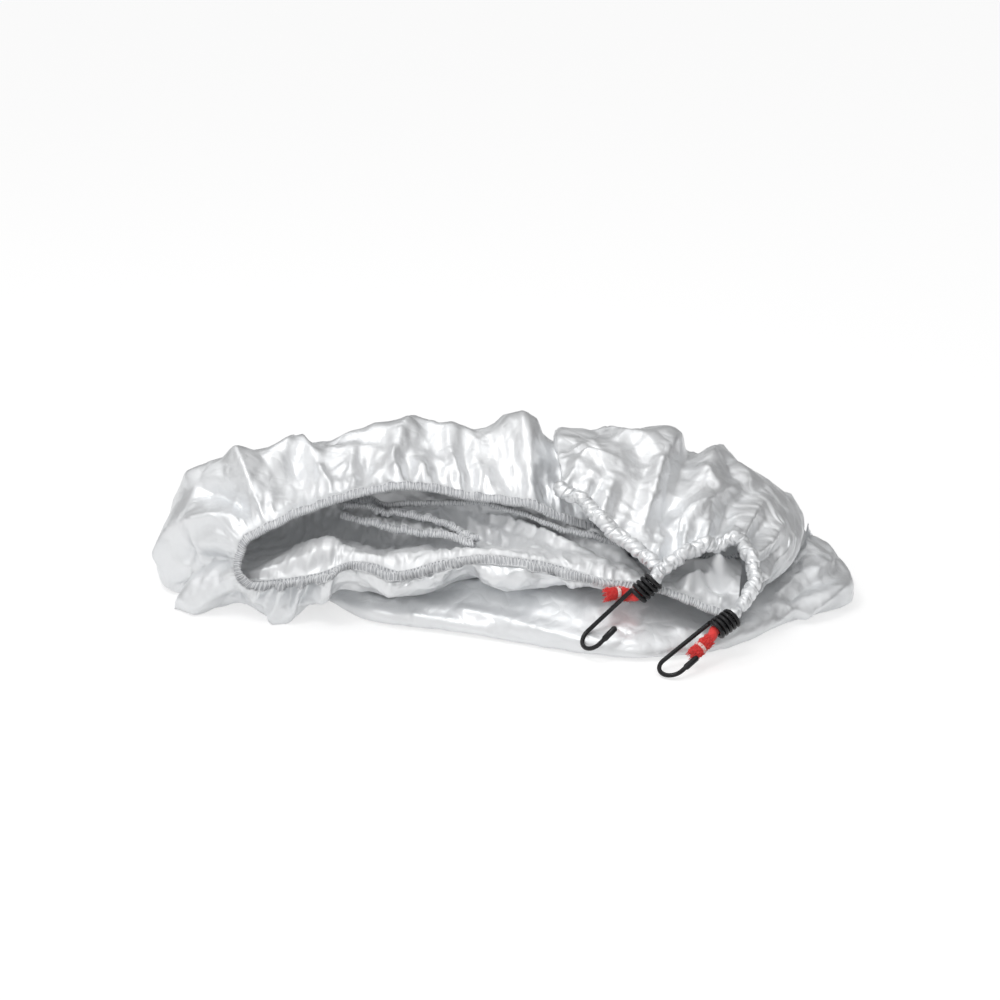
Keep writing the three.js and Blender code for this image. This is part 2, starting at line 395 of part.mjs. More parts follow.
// ---- the cover ----
const hem = hemProfile(HEM_THICK, HEM_WIDE);
const sleeve = hemProfile(SLEEVE_THICK, SLEEVE_WIDE);
const thinHem = hemProfile(FLAP_HEM, 5);
const cover = new THREE.Group();
cover.name = 'bicycle_cover';
cover.add(
  panel('front_panel', SILVER, FRONT, 50, 11, { near: hem, folds: FRONT_FOLDS, out: -1 }),
  panel('rear_panel', SILVER, REAR, 36, 11, { near: sleeve, folds: REAR_FOLDS }),
  panel('base_panel', SILVER, BASE, 26, 17, { folds: BASE_FOLDS }),
  panel('inner_layer', LINING, INNER, 24, 9, { far: hem }),
  panel('inner_flap', LINING, FLAP, 9, 3, { near: thinHem, far: thinHem }),
  hook('hook_left', HOOK_LEFT),
  hook('hook_right', HOOK_RIGHT),
  cordEnd('cord_end_left', CORD_LEFT),
  cordEnd('cord_end_right', CORD_RIGHT),
  whipping('whipping_left', CORD_LEFT, 0.70, 0.74),
  whipping('whipping_right', CORD_RIGHT, 0.70, 0.74),
);
cover.children.forEach((m) => m.geometry.translate(-CENTRE_X, -CENTRE_Y, 0));

export default cover;
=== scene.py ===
# %% [markdown]
# # A bicycle cover, dropped in a heap
# A bicycle cover is one big bag of thin silver-coated cloth. Its mouth is drawn in by an
# elastic hem, and at one end a ruched sleeve carries an elastic cord with a wire hook on
# each end. Here it lies where it fell: the closed end to the left, the open mouth towards
# us, the hooks to the right, and part of the bag folded under the rest.
#
# The solid model says where every sheet lies. This lesson dresses it: the same sheets as
# fine cloth that buckles and gathers, a hem with real overlock thread, round wire, and
# frayed cord ends. Distances in the tables are millimetres; Blender works in metres.

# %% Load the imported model
import math
import bpy
import numpy as np
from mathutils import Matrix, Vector, noise


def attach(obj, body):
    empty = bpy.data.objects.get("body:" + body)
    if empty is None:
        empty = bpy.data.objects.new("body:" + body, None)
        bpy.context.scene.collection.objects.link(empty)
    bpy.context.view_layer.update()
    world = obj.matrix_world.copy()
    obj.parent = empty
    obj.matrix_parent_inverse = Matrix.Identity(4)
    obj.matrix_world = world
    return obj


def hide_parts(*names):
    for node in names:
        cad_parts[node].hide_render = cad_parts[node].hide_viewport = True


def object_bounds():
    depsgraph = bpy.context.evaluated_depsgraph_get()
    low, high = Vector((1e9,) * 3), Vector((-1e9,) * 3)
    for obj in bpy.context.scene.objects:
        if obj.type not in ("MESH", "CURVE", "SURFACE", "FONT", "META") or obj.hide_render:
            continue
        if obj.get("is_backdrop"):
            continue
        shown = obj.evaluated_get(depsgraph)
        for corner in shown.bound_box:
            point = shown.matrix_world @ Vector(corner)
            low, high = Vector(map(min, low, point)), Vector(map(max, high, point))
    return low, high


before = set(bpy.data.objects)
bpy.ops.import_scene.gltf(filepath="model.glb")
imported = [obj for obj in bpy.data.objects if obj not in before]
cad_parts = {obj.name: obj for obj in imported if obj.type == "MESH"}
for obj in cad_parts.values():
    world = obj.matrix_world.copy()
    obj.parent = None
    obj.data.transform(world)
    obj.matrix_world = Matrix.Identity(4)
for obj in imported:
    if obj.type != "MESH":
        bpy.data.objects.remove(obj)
solid_box = [list(corner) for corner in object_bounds()]
MM = 0.001
CENTRE = np.array([-1.7, -11.1, 0.0])      # the middle of the heap, taken off every place
print("solid model", [[round(v, 4) for v in corner] for corner in solid_box])

# %% [markdown]
# ## Camera
# The heap is looked at from a little above the ground, square on to its long side, with a
# long lens, which keeps the far hem and the near hem at the same scale. The camera is made
# first, so that every later step can be checked in the same picture.

# %% Camera
def aim(thing, at):
    thing.rotation_mode = "QUATERNION"
    thing.rotation_quaternion = (Vector(at) - thing.location).to_track_quat("-Z", "Y")

lens = bpy.data.cameras.new("camera")
lens.lens, lens.sensor_width = 85, 36
lens.clip_start, lens.clip_end = 0.01, 50
camera = bpy.data.objects.new("camera", lens)
bpy.context.scene.collection.objects.link(camera)
look_at, height, away = Vector((-0.0023, 0.0111, 0.0667)), math.radians(20), 1.511
camera.location = look_at + Vector((0, -math.cos(height), math.sin(height))) * away
aim(camera, look_at)
bpy.context.scene.camera = camera
bpy.context.scene.view_settings.view_transform = "Standard"
print("camera is", round(away, 2), "m away")

# %% [markdown]
# ## Where the sheets lie
# A sheet is told by a table: one row for each station along its hem, and in each row a few
# points from the hem outwards. Smooth curves through rows and columns give the whole
# surface. A drape could be simulated from a flat cut instead, but a heap that fell once
# never falls the same way again, so the big shape is written down here. Folds placed one by
# one and small buckles from the cloth solver follow in later steps.
#
# The front panel is the largest sheet: it runs along the top rim of the mouth, round the
# closed end and back along the lower lip, and outwards it falls down behind the heap.

# %% Table of the front panel
# from the hook end along the top rim, round the closed end, back along the lip
FRONT = [
    # rim, brow, crown, back, toe, tuck
    [[80, -26, 52], [80, -6, 64], [82, 30, 76], [84, 60, 54], [86, 80, 3], [84, 62, 0.7]],
    [[58, -26, 56], [57, -4, 69], [54, 35, 82], [57, 67, 58], [60, 83, 3], [60, 62, 0.7]],
    [[34, -20, 61], [33, 2, 76], [30, 38, 97.8], [34, 76, 62], [36, 91, 3], [36, 70, 0.7]],
    [[9, -15, 67], [8, 6, 82], [7, 45, 105], [7, 83, 66], [8, 99, 3], [8, 72, 0.7]],
    [[-17, -12, 74], [-18, 8, 88], [-19, 45, 105], [-20, 84, 66], [-20, 100, 3], [-20, 72, 0.7]],
    [[-42, -12, 78], [-43, 10, 92], [-43, 45, 103], [-45, 84, 64], [-46, 99, 3], [-45, 72, 0.7]],
    [[-67, -15, 78], [-68, 8, 93], [-69, 45, 109], [-70, 84, 66], [-71, 98, 3], [-70, 72, 0.7]],
    [[-92, -20, 77], [-93, 6, 91], [-94, 42, 107], [-95, 80, 64], [-96, 96, 3], [-95, 70, 0.7]],
    [[-114, -27, 72], [-116, 0, 85], [-120, 35, 96], [-122, 74, 60], [-123, 92, 3], [-121, 68, 0.7]],
    [[-135, -33, 67], [-138, -4, 81], [-143, 30, 95], [-147, 68, 58], [-150, 87, 3], [-147, 64, 0.7]],
    [[-152, -38, 60], [-160, -10, 73], [-172, 27, 93], [-182, 56, 60], [-187, 78, 3], [-178, 60, 0.7]],
    [[-161, -41, 54], [-174, -17, 66], [-194, 22, 83], [-208, 44, 52], [-212, 62, 3], [-198, 54, 0.7]],
    [[-164, -43, 48], [-183, -23, 53], [-209, 17, 63], [-223, 32, 36], [-226, 46, 3], [-208, 46, 0.7]],
    [[-166, -45, 43.5], [-187, -30, 42], [-210, -2, 39], [-224, 16, 22], [-228, 32, 4], [-211, 36, 0.7]],
    [[-166, -46.5, 39.5], [-186, -33, 34], [-205, -17, 24], [-215, -5, 12], [-221, 8, 2], [-208, 24, 0.7]],
    [[-163.5, -48.5, 34.5], [-177, -40, 26], [-192, -29, 14], [-201, -19, 1.8],
     [-195, 0, 0.7], [-186, 18, 0.7]],
    [[-160, -51, 30], [-166, -45, 20], [-174, -35, 9], [-177, -24, 1.6], [-171, -4, 0.7], [-165, 12, 0.7]],
    [[-146, -55, 29], [-148, -49, 18], [-150, -42, 8], [-150, -33, 1.6], [-148, -16, 0.7], [-145, 4, 0.7]],
    [[-132, -57, 30], [-134, -53, 20], [-136, -50, 8], [-137, -45, 1.4], [-134, -24, 1.6], [-131, 0, 4]],
    [[-117, -58, 36], [-118, -56, 28], [-120, -52, 20], [-120, -46, 12.2],
     [-117, -28, 10.4], [-115, -4, 12.4]],
    [[-103, -59, 45], [-104, -59, 39], [-105, -57, 34], [-105, -52, 27.2],
     [-104, -34, 20.9], [-103, -8, 19.4]],
    [[-87, -62, 47], [-87, -63, 40], [-88, -62, 33], [-88, -56, 25.7], [-88, -38, 20.9], [-88, -10, 20.4]],
    [[-69, -66, 41], [-69, -66, 35], [-70, -64, 29], [-70, -57, 23.2], [-70, -38, 20.9], [-70, -10, 21.4]],
    [[-47, -66, 47], [-46, -67, 41], [-44, -65, 35], [-44, -58, 29.2], [-44, -38, 24.4], [-44, -10, 24.9]],
    [[-26, -66, 53], [-25, -66, 48], [-23, -63, 43], [-23, -56, 38.2], [-22, -40, 32.4], [-20, -12, 30.4]],
    [[-3, -69, 54], [-2, -70, 48], [-2, -68, 40], [-2, -62, 34.2], [-1, -44, 31.4], [0, -16, 32.4]],
    [[28, -75, 50], [28, -77, 46], [28, -75, 40], [28, -69, 35.7], [28, -50, 32.9], [28, -22, 33.4]],
    [[48, -80, 47], [48, -81, 43.5], [48, -79, 39], [48, -73, 35], [48, -55, 33], [48, -27, 34]],
    [[64, -79, 42], [65, -79, 39], [65, -75.5, 36.2], [65, -70, 34], [65, -54, 32.8], [65, -30, 33.4]],
]
print("front panel:", len(FRONT), "stations of", len(FRONT[0]), "points")

# %% [markdown]
# The hook-end panel is a second sheet, because on the real cover it is cut apart and
# gathered on the cord. One table for both would have to turn a corner at the notch over
# the left hook, where no smooth curve can follow the cloth.

# %% Table of the hook-end panel
# along the ruched sleeve, from the middle of the heap to the last hook
REAR = [
    # sleeve, gather, mid, crown, back, toe, tuck
    [[43, -33, 78], [45, -18, 81], [47, 2, 86], [48, 34, 91], [50, 80, 66], [52, 98, 8], [52, 90, 3]],
    [[33, -37, 84], [32, -24, 90], [32, -3, 96], [34, 32, 100], [38, 82, 70], [40, 104, 4], [42, 92, 0.7]],
    [[46, -44, 80], [46, -29, 88], [48, -6, 99], [51, 34, 104], [54, 85, 72], [56, 107, 4], [56, 90, 0.7]],
    [[59, -56, 69], [61, -40, 79], [65, -12, 95], [69, 36, 105], [72, 85, 72], [74, 108, 4], [74, 90, 0.7]],
    [[72, -67, 61], [77, -50, 71], [82, -18, 91], [88, 37, 104], [92, 84, 70], [94, 108, 4], [93, 90, 0.7]],
    [[84, -78, 55], [91, -57, 66], [98, -22, 86], [106, 36, 101],
     [110, 82, 66], [112, 106, 4], [110, 88, 0.7]],
    [[93.5, -85, 52], [101, -61, 61], [109, -26, 79], [120, 33, 91],
     [124, 79, 60], [126, 103, 4], [124, 85, 0.7]],
    [[102, -80, 55], [108, -59, 63], [117, -25, 77], [130, 31, 88],
     [135, 77, 58], [138, 100, 4], [136, 82, 0.7]],
    [[113, -74, 58], [118, -56, 66], [126, -22, 76], [138, 29, 86],
     [144, 75, 57], [148, 98, 4], [146, 80, 0.7]],
    [[128, -66, 60], [132, -49, 66], [139, -18, 72], [151, 25, 79],
     [157, 70, 53], [161, 94, 4], [158, 76, 0.7]],
    [[142, -61, 60], [147, -45, 64], [154, -14, 66], [167, 20, 69],
     [174, 62, 48], [179, 87, 4], [175, 70, 0.7]],
    [[149, -70, 50], [157, -53, 52], [166, -22, 55], [180, 13, 59],
     [189, 52, 42], [194, 78, 4], [190, 62, 0.7]],
    [[148, -82, 39], [156, -66, 38], [169, -38, 38], [185, -5, 46],
     [195, 32, 43], [202, 64, 8], [198, 58, 3]],
    [[140, -93, 28], [146, -83, 26.5], [158, -60, 26], [178, -28, 32],
     [192, 2, 37], [198, 26, 38], [200, 46, 34]],
]
print("hook-end panel:", len(REAR), "stations of", len(REAR[0]), "points")

# %% [markdown]
# The bottom panel is folded under the heap: a layer on the ground, one long fold towards
# us and the face above it. It could be left out where it is hidden, but it carries the
# heap, so the whole loop of its fold is there.

# %% Table of the folded-under panel
BASE = [
    # under rear, under, front low, nose, lift,
    # face, top, deck, deck rear
    [[-107, 16, 0.7], [-110, -2, 1.5], [-113, -17, 4], [-114, -21, 6.5], [-113, -19, 9],
     [-111, -14, 11.5], [-109, -5, 13.5], [-107, 8, 15], [-107, 24, 15]],
    [[-90, 20, 0.7], [-90, -10, 0.7], [-90, -38, 0.9], [-90, -45, 4.2], [-90, -42, 10],
     [-90, -33, 15], [-90, -20, 17.5], [-90, 0, 18], [-90, 24, 18]],
    [[-67, 20, 0.7], [-67, -15, 0.7], [-67, -49, 0.9], [-67, -55, 4.2], [-67, -52, 10],
     [-67, -42, 15.5], [-67, -26, 18.5], [-67, 0, 19], [-67, 24, 19]],
    [[-42, 20, 0.7], [-42, -20, 0.7], [-42, -57, 0.9], [-42, -63, 4.2], [-42, -60, 10],
     [-42, -50, 16.5], [-42, -32, 21], [-42, -5, 22], [-42, 22, 22]],
    [[-16, 18, 0.7], [-16, -26, 0.7], [-16, -66, 0.9], [-16, -72, 4.2], [-16, -69, 10],
     [-16, -58, 18], [-16, -42, 26], [-16, -12, 27], [-16, 18, 27]],
    [[10, 14, 0.7], [10, -30, 0.7], [10, -77, 0.9], [10, -83, 4.2], [10, -80, 10],
     [10, -68, 19.5], [10, -51, 28], [10, -20, 29], [10, 12, 29]],
    [[33, 10, 0.7], [33, -36, 0.7], [33, -89, 0.9], [33, -95, 4.2], [33, -91, 10],
     [33, -77, 21], [33, -60, 29.5], [33, -28, 30], [33, 8, 30]],
    [[58, 6, 0.7], [58, -42, 0.7], [58, -97, 0.9], [58, -103, 4.2], [58, -98, 10],
     [58, -83, 21.5], [58, -66, 29.5], [58, -34, 30.5], [58, 4, 30.5]],
    [[82, 4, 0.7], [82, -44, 0.7], [82, -101, 0.9], [82, -107, 4.2], [82, -102, 10],
     [82, -88, 20], [82, -70, 28], [82, -40, 29.5], [82, 2, 30]],
    [[107, 6, 0.7], [107, -42, 0.7], [107, -98, 0.9], [107, -104, 4.2], [107, -99, 9],
     [107, -87, 15], [107, -69, 21.5], [107, -42, 26.5], [107, 4, 30]],
    [[125, 8, 0.7], [125, -36, 0.7], [125, -92, 0.9], [125, -98, 4.4], [125, -93, 9],
     [125, -81, 13], [125, -64, 17.5], [125, -38, 24], [125, 6, 30]],
    [[145, 12, 0.7], [145, -28, 0.7], [145, -76, 0.9], [145, -83, 5], [145, -79, 10.5],
     [145, -66, 15], [145, -49, 19], [145, -25, 25], [145, 10, 31]],
    [[165, 16, 0.7], [165, -16, 0.7], [166, -57, 0.9], [167, -65, 6], [166, -62, 13],
     [165, -51, 17.5], [165, -38, 21.5], [164, -10, 29], [162, 18, 32]],
    [[186, 24, 0.7], [187, 0, 0.7], [189, -34, 0.9], [190, -42, 8], [191, -41, 18],
     [188, -32, 23], [186, -20, 27], [184, 4, 32], [180, 26, 33]],
    [[202, 34, 0.7], [205, 6, 0.7], [208, -25, 0.9], [210, -32, 7.5], [209, -29, 17],
     [206, -20, 22.5], [203, -8, 27], [198, 10, 33], [190, 32, 33]],
    [[204, 42, 0.7], [212, 14, 0.7], [220, -18, 0.9], [224, -21, 5], [222, -15, 12],
     [217, -6, 18], [212, 3, 23.5], [203, 17, 30], [192, 38, 31]],
    [[204, 48, 0.7], [213, 28, 0.7], [222, 4, 0.9], [226, 5, 4], [224, 8, 9],
     [219, 12, 15], [213, 18, 21], [204, 27, 27], [193, 42, 29]],
    [[202, 50, 0.7], [209, 42, 0.7], [216, 34, 0.9], [219, 36, 4], [218, 37, 8],
     [214, 38, 12], [208, 39, 17], [201, 42, 22], [193, 46, 25]],
    [[196, 60, 0.7], [199, 59, 0.7], [202, 58, 1], [204, 58, 2.5], [204, 58, 4],
     [203, 59, 6], [200, 60, 8], [197, 61, 10], [193, 62, 12]],
]
print("folded-under panel:", len(BASE), "stations of", len(BASE[0]), "points")

# %% [markdown]
# Through the mouth one sees the far side of the bag: a low hump behind the lip, a hollow,
# and the far hem above it. A loose flap of hem lies folded back on itself in front. Both
# are sheets of their own, since nothing visible joins them to the front panel.

# %% Tables of the inner layer and its loose flap
INNER = [
    # toe, crest, dip, rear, rise, hem
    [[-168, -35, 22], [-170, -31, 30], [-172, -22, 34], [-173, -8, 35], [-172, 4, 36], [-170, 14, 38]],
    [[-157, -41, 22], [-158, -35, 33], [-160, -24, 34.5], [-161, -6, 34], [-161, 8, 35], [-160, 20, 38]],
    [[-138, -45, 25], [-138, -34, 40], [-138, -14, 38], [-138, 8, 34], [-138, 24, 40], [-138, 33, 52]],
    [[-116, -47, 30], [-115, -34, 47], [-114, -14, 41], [-114, 10, 36], [-112, 26, 46], [-112, 28, 60]],
    [[-99, -49, 37], [-98, -37, 47], [-96, -16, 39], [-95, 10, 36], [-93, 24, 49], [-93, 16, 64]],
    [[-84, -52, 38], [-84, -42, 46], [-82, -20, 39], [-82, 8, 37], [-80, 20, 50], [-78, 4, 65]],
    [[-67, -55, 34], [-67, -43, 47], [-66, -22, 41], [-65, 6, 39], [-64, 18, 54], [-66, -2, 68.5]],
    [[-42, -56, 41], [-42, -45, 49.5], [-42, -26, 43], [-41, 2, 42], [-40, 18, 55], [-40, -2, 67]],
    [[-16, -58, 46], [-16, -49, 51.5], [-16, -36, 48], [-15, -8, 47], [-14, 12, 55], [-14, -6, 63]],
    [[12, -62, 45], [12, -55, 50.5], [12, -44, 50.5], [12, -20, 49], [13, 2, 51.5], [13, -14, 58.5]],
    [[33, -67, 42], [34, -61, 48.5], [33, -50, 49], [33, -30, 47.5], [33, -8, 48.5], [33, -24, 55]],
    [[55, -76, 38], [56, -69, 45], [56, -58, 48], [56, -42, 47.5], [56, -20, 47.5], [55, -37, 54.5]],
    [[72, -77.6, 36.5], [75, -71, 41], [76, -60, 43], [76, -46, 43.5], [76, -26, 43], [76, -40, 49]],
    [[93, -83, 36.8], [94, -74, 38.5], [95, -60, 39.5], [96, -44, 40], [97, -28, 40.5], [97, -36, 47]],
    [[112, -88, 31.5], [113, -78, 33.5], [114, -64, 36.5], [116, -46, 38.5], [117, -30, 40], [117, -40, 46]],
    [[129, -92, 25.5], [131, -80, 28], [133, -68, 33], [135, -53, 39], [136, -40, 41], [136, -46, 46]],
    [[139, -92, 22], [142, -80, 27], [144, -68, 34], [146, -54, 41], [147, -42, 44], [147, -46, 48]],
]
# a hem on both edges
FLAP = [
    # lower hem, fold, upper hem
    [[-106, -11, 58.5], [-105, 4, 61], [-104, -7, 65]],
    [[-91, -14, 55.5], [-90, 4, 58.5], [-89, -7, 63.5]],
    [[-75, -16, 53.5], [-74, 4, 57], [-73, -9, 61.5]],
    [[-55, -21, 52.5], [-54, 0, 56], [-54, -13, 60]],
    [[-40, -27, 51.2], [-39, -6, 54.6], [-39, -20, 58.2]],
    [[-28, -36, 50.6], [-26, -16, 53.2], [-26, -30, 56.6]],
    [[-20, -43, 52], [-17, -28, 54.6], [-17, -40, 58]],
]
print("inner layer and flap:", len(INNER), "and", len(FLAP), "stations")

# %% [markdown]
# ## From table to surface
# Each row of a table becomes a smooth line across the sheet, and the lines are then joined
# lengthwise by more smooth lines. The result is a grid of points, which numpy handles as
# one array. Grids make everything that follows simple: a fold is a bump added along the
# normals, and a hem is a few extra rows.

# %% Smooth lines
def smooth_line(points, per):
    """Points on a smooth curve through the given ones, `per` in each span."""
    p = np.asarray(points, float)
    p = np.vstack([2 * p[0] - p[1], p, 2 * p[-1] - p[-2]])
    u = (np.arange(per) / per)[:, None]
    out = []
    for a, b, c, d in zip(p[:-3], p[1:-2], p[2:-1], p[3:]):
        k0, k1, k2 = (max(np.linalg.norm(y - x), 1e-6) ** 0.5 for x, y in ((a, b), (b, c), (c, d)))
        m1 = ((b - a) / k0 - (c - a) / (k0 + k1) + (c - b) / k1) * k1
        m2 = ((c - b) / k1 - (d - b) / (k1 + k2) + (d - c) / k2) * k1
        out.append(b + m1 * u + (3 * (c - b) - 2 * m1 - m2) * u**2 + (2 * (b - c) + m1 + m2) * u**3)
    return np.vstack(out + [p[-2:-1]])

def run_of(line):
    """Distance walked along a line at each of its points."""
    return np.r_[0, np.cumsum(np.linalg.norm(np.diff(line, axis=0), axis=1))]

def walk(line, distances):
    """The places on a line at the given distances from its start."""
    run = run_of(line)
    return np.stack([np.interp(distances, run, line[:, k]) for k in range(3)], 1)

print("the mouth's rim and lip are", round(run_of(smooth_line([row[0] for row in FRONT], 8))[-1]), "mm round")

# %% Grids
SPAN = 40          # points on each span of a smooth line

def sheet_grid(table, pitch):
    """Grid of points [across][along] at about one pitch, with its station and outward values."""
    across = [smooth_line(row, SPAN) for row in table]
    lengths = [run_of(line)[-1] for line in across]
    n_out = int(round(np.mean(lengths) / pitch)) + 1
    out = np.linspace(0, 1, n_out)
    knots = np.stack([walk(line, out * length) for line, length in zip(across, lengths)], 1)
    lines = np.stack([smooth_line(row, SPAN) for row in knots])
    runs = np.mean([run_of(lines[int(k)]) for k in np.linspace(0, n_out - 1, 5)], 0)
    n_along = int(round(runs[-1] / pitch)) + 1
    place = np.interp(np.linspace(0, runs[-1], n_along), runs, np.linspace(0, 1, len(runs)))
    at = place * (lines.shape[1] - 1)
    low = np.minimum(at.astype(int), lines.shape[1] - 2)
    f = (at - low)[None, :, None]
    grid = lines[:, low] * (1 - f) + lines[:, low + 1] * f
    return {"points": grid - CENTRE, "along": place, "out": out, "pitch": pitch,
            "long": run_of(lines[n_out // 2])[-1], "wide": float(np.mean(lengths))}

def normals_of(points, side):
    """Unit normals of a grid, on the side of the cloth that shows."""
    along, out = np.gradient(points, axis=1), np.gradient(points, axis=0)
    n = np.cross(along, out) * side
    return n / np.maximum(np.linalg.norm(n, axis=2, keepdims=True), 1e-9)

def doubled(values, axis):
    """The same grid with a new point halfway between each two, on a smooth curve."""
    v = np.moveaxis(np.asarray(values, float), axis, 0)
    far = np.concatenate([2 * v[:1] - v[1:2], v, 2 * v[-1:] - v[-2:-1]])
    halfway = (9 * (far[1:-2] + far[2:-1]) - far[:-3] - far[3:]) / 16
    out = np.empty((2 * len(v) - 1, *v.shape[1:]))
    out[0::2], out[1::2] = v, halfway
    return np.moveaxis(out, 0, axis)

def finer(sheet):
    """The same sheet on a grid of half the pitch."""
    return {**sheet, "points": doubled(doubled(sheet["points"], 0), 1), "pitch": sheet["pitch"] / 2,
            "along": doubled(sheet["along"], 0), "out": doubled(sheet["out"], 0)}

def cut_places(sheet):
    """Distances along and outward over the flat cut, in millimetres."""
    return sheet["along"][None, :] * sheet["long"], sheet["out"][:, None] * sheet["wide"]

sizes = {name: sheet_grid(table, 12) for name, table in (("front", FRONT), ("rear", REAR), ("base", BASE))}
print("length and width in mm:", {name: (round(g["long"]), round(g["wide"])) for name, g in sizes.items()})

# %% [markdown]
# ## Drift and panes
# Much of the cloth must vary, but come out the same on every run. `drift` is smooth
# seeded randomness for that. Stiff coated cloth does not roll like a blanket, though: it
# breaks into flat panes that meet in crisp creases. Blender's noise textures could bend
# the sheet too, but they give round dents, so `panes` makes a seeded net of flat
# three-cornered facets instead.

# %% Drift
def drift(x, y, seed):
    """Smooth random values from -1 to 1 over places x, y, one bump for each unit."""
    table = np.random.RandomState(seed).uniform(-1, 1, (64, 64))
    x, y = np.broadcast_arrays(np.asarray(x, float), np.asarray(y, float))
    i, j = np.floor(x).astype(int), np.floor(y).astype(int)
    fx, fy = x - i, y - j
    fx, fy = fx**3 * (fx * (6 * fx - 15) + 10), fy**3 * (fy * (6 * fy - 15) + 10)
    a, b = table[i % 64, j % 64], table[(i + 1) % 64, j % 64]
    c, d = table[i % 64, (j + 1) % 64], table[(i + 1) % 64, (j + 1) % 64]
    return (a * (1 - fx) + b * fx) * (1 - fy) + (c * (1 - fx) + d * fx) * fy

print("drift over one unit:", [round(float(drift(k / 4, 0.5, 1)), 2) for k in range(5)])

# %% Panes
def panes(x, y, seed, tilt=0.6, stretch=1.5):
    """Flat facets that meet in creases, from -1 to 1, one corner for each unit."""
    x, y = np.broadcast_arrays(np.asarray(x, float), np.asarray(y, float))
    x, y = x + 0.5 * drift(x / 1.4, y / 1.4, seed + 1), y + 0.5 * drift(x / 1.4 + 9, y / 1.4, seed + 2)
    u = (x * math.cos(tilt) + y * math.sin(tilt)) / stretch
    v = y * math.cos(tilt) - x * math.sin(tilt)
    i, j = np.floor(u).astype(int), np.floor(v).astype(int)
    fu, fv = u - i, v - j
    corner = np.random.RandomState(seed).uniform(-1, 1, (64, 64))
    a, b = corner[i % 64, j % 64], corner[(i + 1) % 64, (j + 1) % 64]
    c = np.where(fu > fv, corner[(i + 1) % 64, j % 64], corner[i % 64, (j + 1) % 64])
    high, low = np.maximum(fu, fv), np.minimum(fu, fv)
    return a * (1 - high) + c * (high - low) + b * low

def faceted(sheet, seed, strength=1.0, fine=1.0):
    """Rise of the panes over a sheet: large ones, and finer ones with creases."""
    x, y = cut_places(sheet)
    large = 7.0 * panes(x / 33, y / 33, seed, 0.7)
    middling = 2.6 * panes(x / 15, y / 15, seed + 5, -0.5)
    small = 0.6 * panes(x / 7, y / 7, seed + 9, 0.3)
    crease = 2.2 * (0.4 - np.abs(drift(x / 19 + y / 60, y / 26, seed + 17)))
    some = 0.6 + 0.4 * drift(x / 40, y / 40, seed + 13)
    return (large + ((middling + crease) * some + small) * fine) * strength

print("panes rise and sink by up to", round(float(np.abs(faceted(sizes["front"], 7)).max()), 1), "mm")

# %% [markdown]
# ## Drapes and listed folds
# Down the back the cloth hangs in long straight folds, one beside the other, so a wave
# along the sheet makes them. The folds in front give the heap its character, and no wave
# has their order. Each is placed one by one: it runs from one spot on the sheet to another
# and lifts or sinks the cloth to a crest along its line, narrow where the hem gathers it
# and wider further out.

# %% Drapes
DRAPE_PITCH = 34       # mm from one fold to the next
DRAPE_DEPTH = 5.0      # mm

def drapes(sheet, seed):
    """Long folds that hang down the back of the heap, straight and crisp."""
    x, y = cut_places(sheet)
    out = sheet["out"][:, None]
    wave = 0.5 - np.abs(np.sin(np.pi * (x / DRAPE_PITCH + 0.8 * drift(x / 50, y / 110, seed)))) ** 0.8
    share = np.clip((out - 0.50) / 0.16, 0, 1) * np.clip((1 - out) / 0.14, 0, 1)
    return 2 * DRAPE_DEPTH * wave * share * (0.7 + 0.3 * drift(x / 45, y / 90, seed + 1))

print("about", round(sizes["rear"]["long"] / DRAPE_PITCH), "drapes hang down the hook-end panel's back")

# %% Folds
def spot(sheet, station, outward):
    """The place on a sheet at a station and an outward share."""
    points = sheet["points"]
    column = np.interp(station, sheet["along"], np.arange(points.shape[1]))
    c = np.clip(column, 0, points.shape[1] - 1.001)
    r = np.clip(outward * (points.shape[0] - 1), 0, points.shape[0] - 1.001)
    i, j = int(c), int(r)
    f, g = c - i, r - j
    low, high = points[j], points[j + 1]
    return (low[i] * (1 - f) + low[i + 1] * f) * (1 - g) + (high[i] * (1 - f) + high[i + 1] * f) * g

def fold_rise(sheet, folds, parts=6):
    """Height of all folds over the sheet; each is (from, to, half width, rise, roundness)."""
    total = np.zeros(sheet["points"].shape[:2])
    for start, end, width, rise, roundness in folds:
        start, end = np.array(start), np.array(end)
        line = [spot(sheet, *(start + (end - start) * k / parts)) for k in range(parts + 1)]
        near = np.abs(sheet["along"] - (start[0] + end[0]) / 2) < abs(end[0] - start[0]) / 2 + 0.09
        places = sheet["points"][:, near]
        best, share = np.full(places.shape[:2], np.inf), np.zeros(places.shape[:2])
        for k, (a, b) in enumerate(zip(line[:-1], line[1:])):
            ahead = b - a
            u = np.clip((places - a) @ ahead / (ahead @ ahead), 0, 1)
            far = np.linalg.norm(places - a - u[..., None] * ahead, axis=2)
            share, best = np.where(far < best, (k + u) / parts, share), np.minimum(far, best)
        d = best / (width * (0.75 + 0.5 * share))
        total[:, near] += rise * (1 - 0.6 * share**3) * np.clip(1 - d**roundness, 0, 1) ** 1.2
    _, y = cut_places(sheet)
    return total * np.clip((y - 2.0) / 8.0, 0, 1)

one_fold = fold_rise(sizes["base"], [((0.3, 0.3), (0.6, 0.3), 20, 5, 1.0)])
print("one 5 mm fold lifts the cloth by up to", round(float(one_fold.max()), 1), "mm")

# %% [markdown]
# ## Letting the cloth buckle
# Coated cloth hardly stretches. Where there is more of it than room for it, it buckles
# into facets with crisp creases between them. Blender's Cloth does just that: the sheet is
# told that it is a few percent too big, it is held softly to where it lies, and a few
# frames later the spare cloth has gone into creases. Noise alone would be quicker, but it
# looks like dough; real buckles have straight ridges that meet in points. The solver
# likes large things, so the sheet is simulated twenty times its size. What it moves in
# wide sweeps is taken off again, so that the big shape stays as the table gives it.

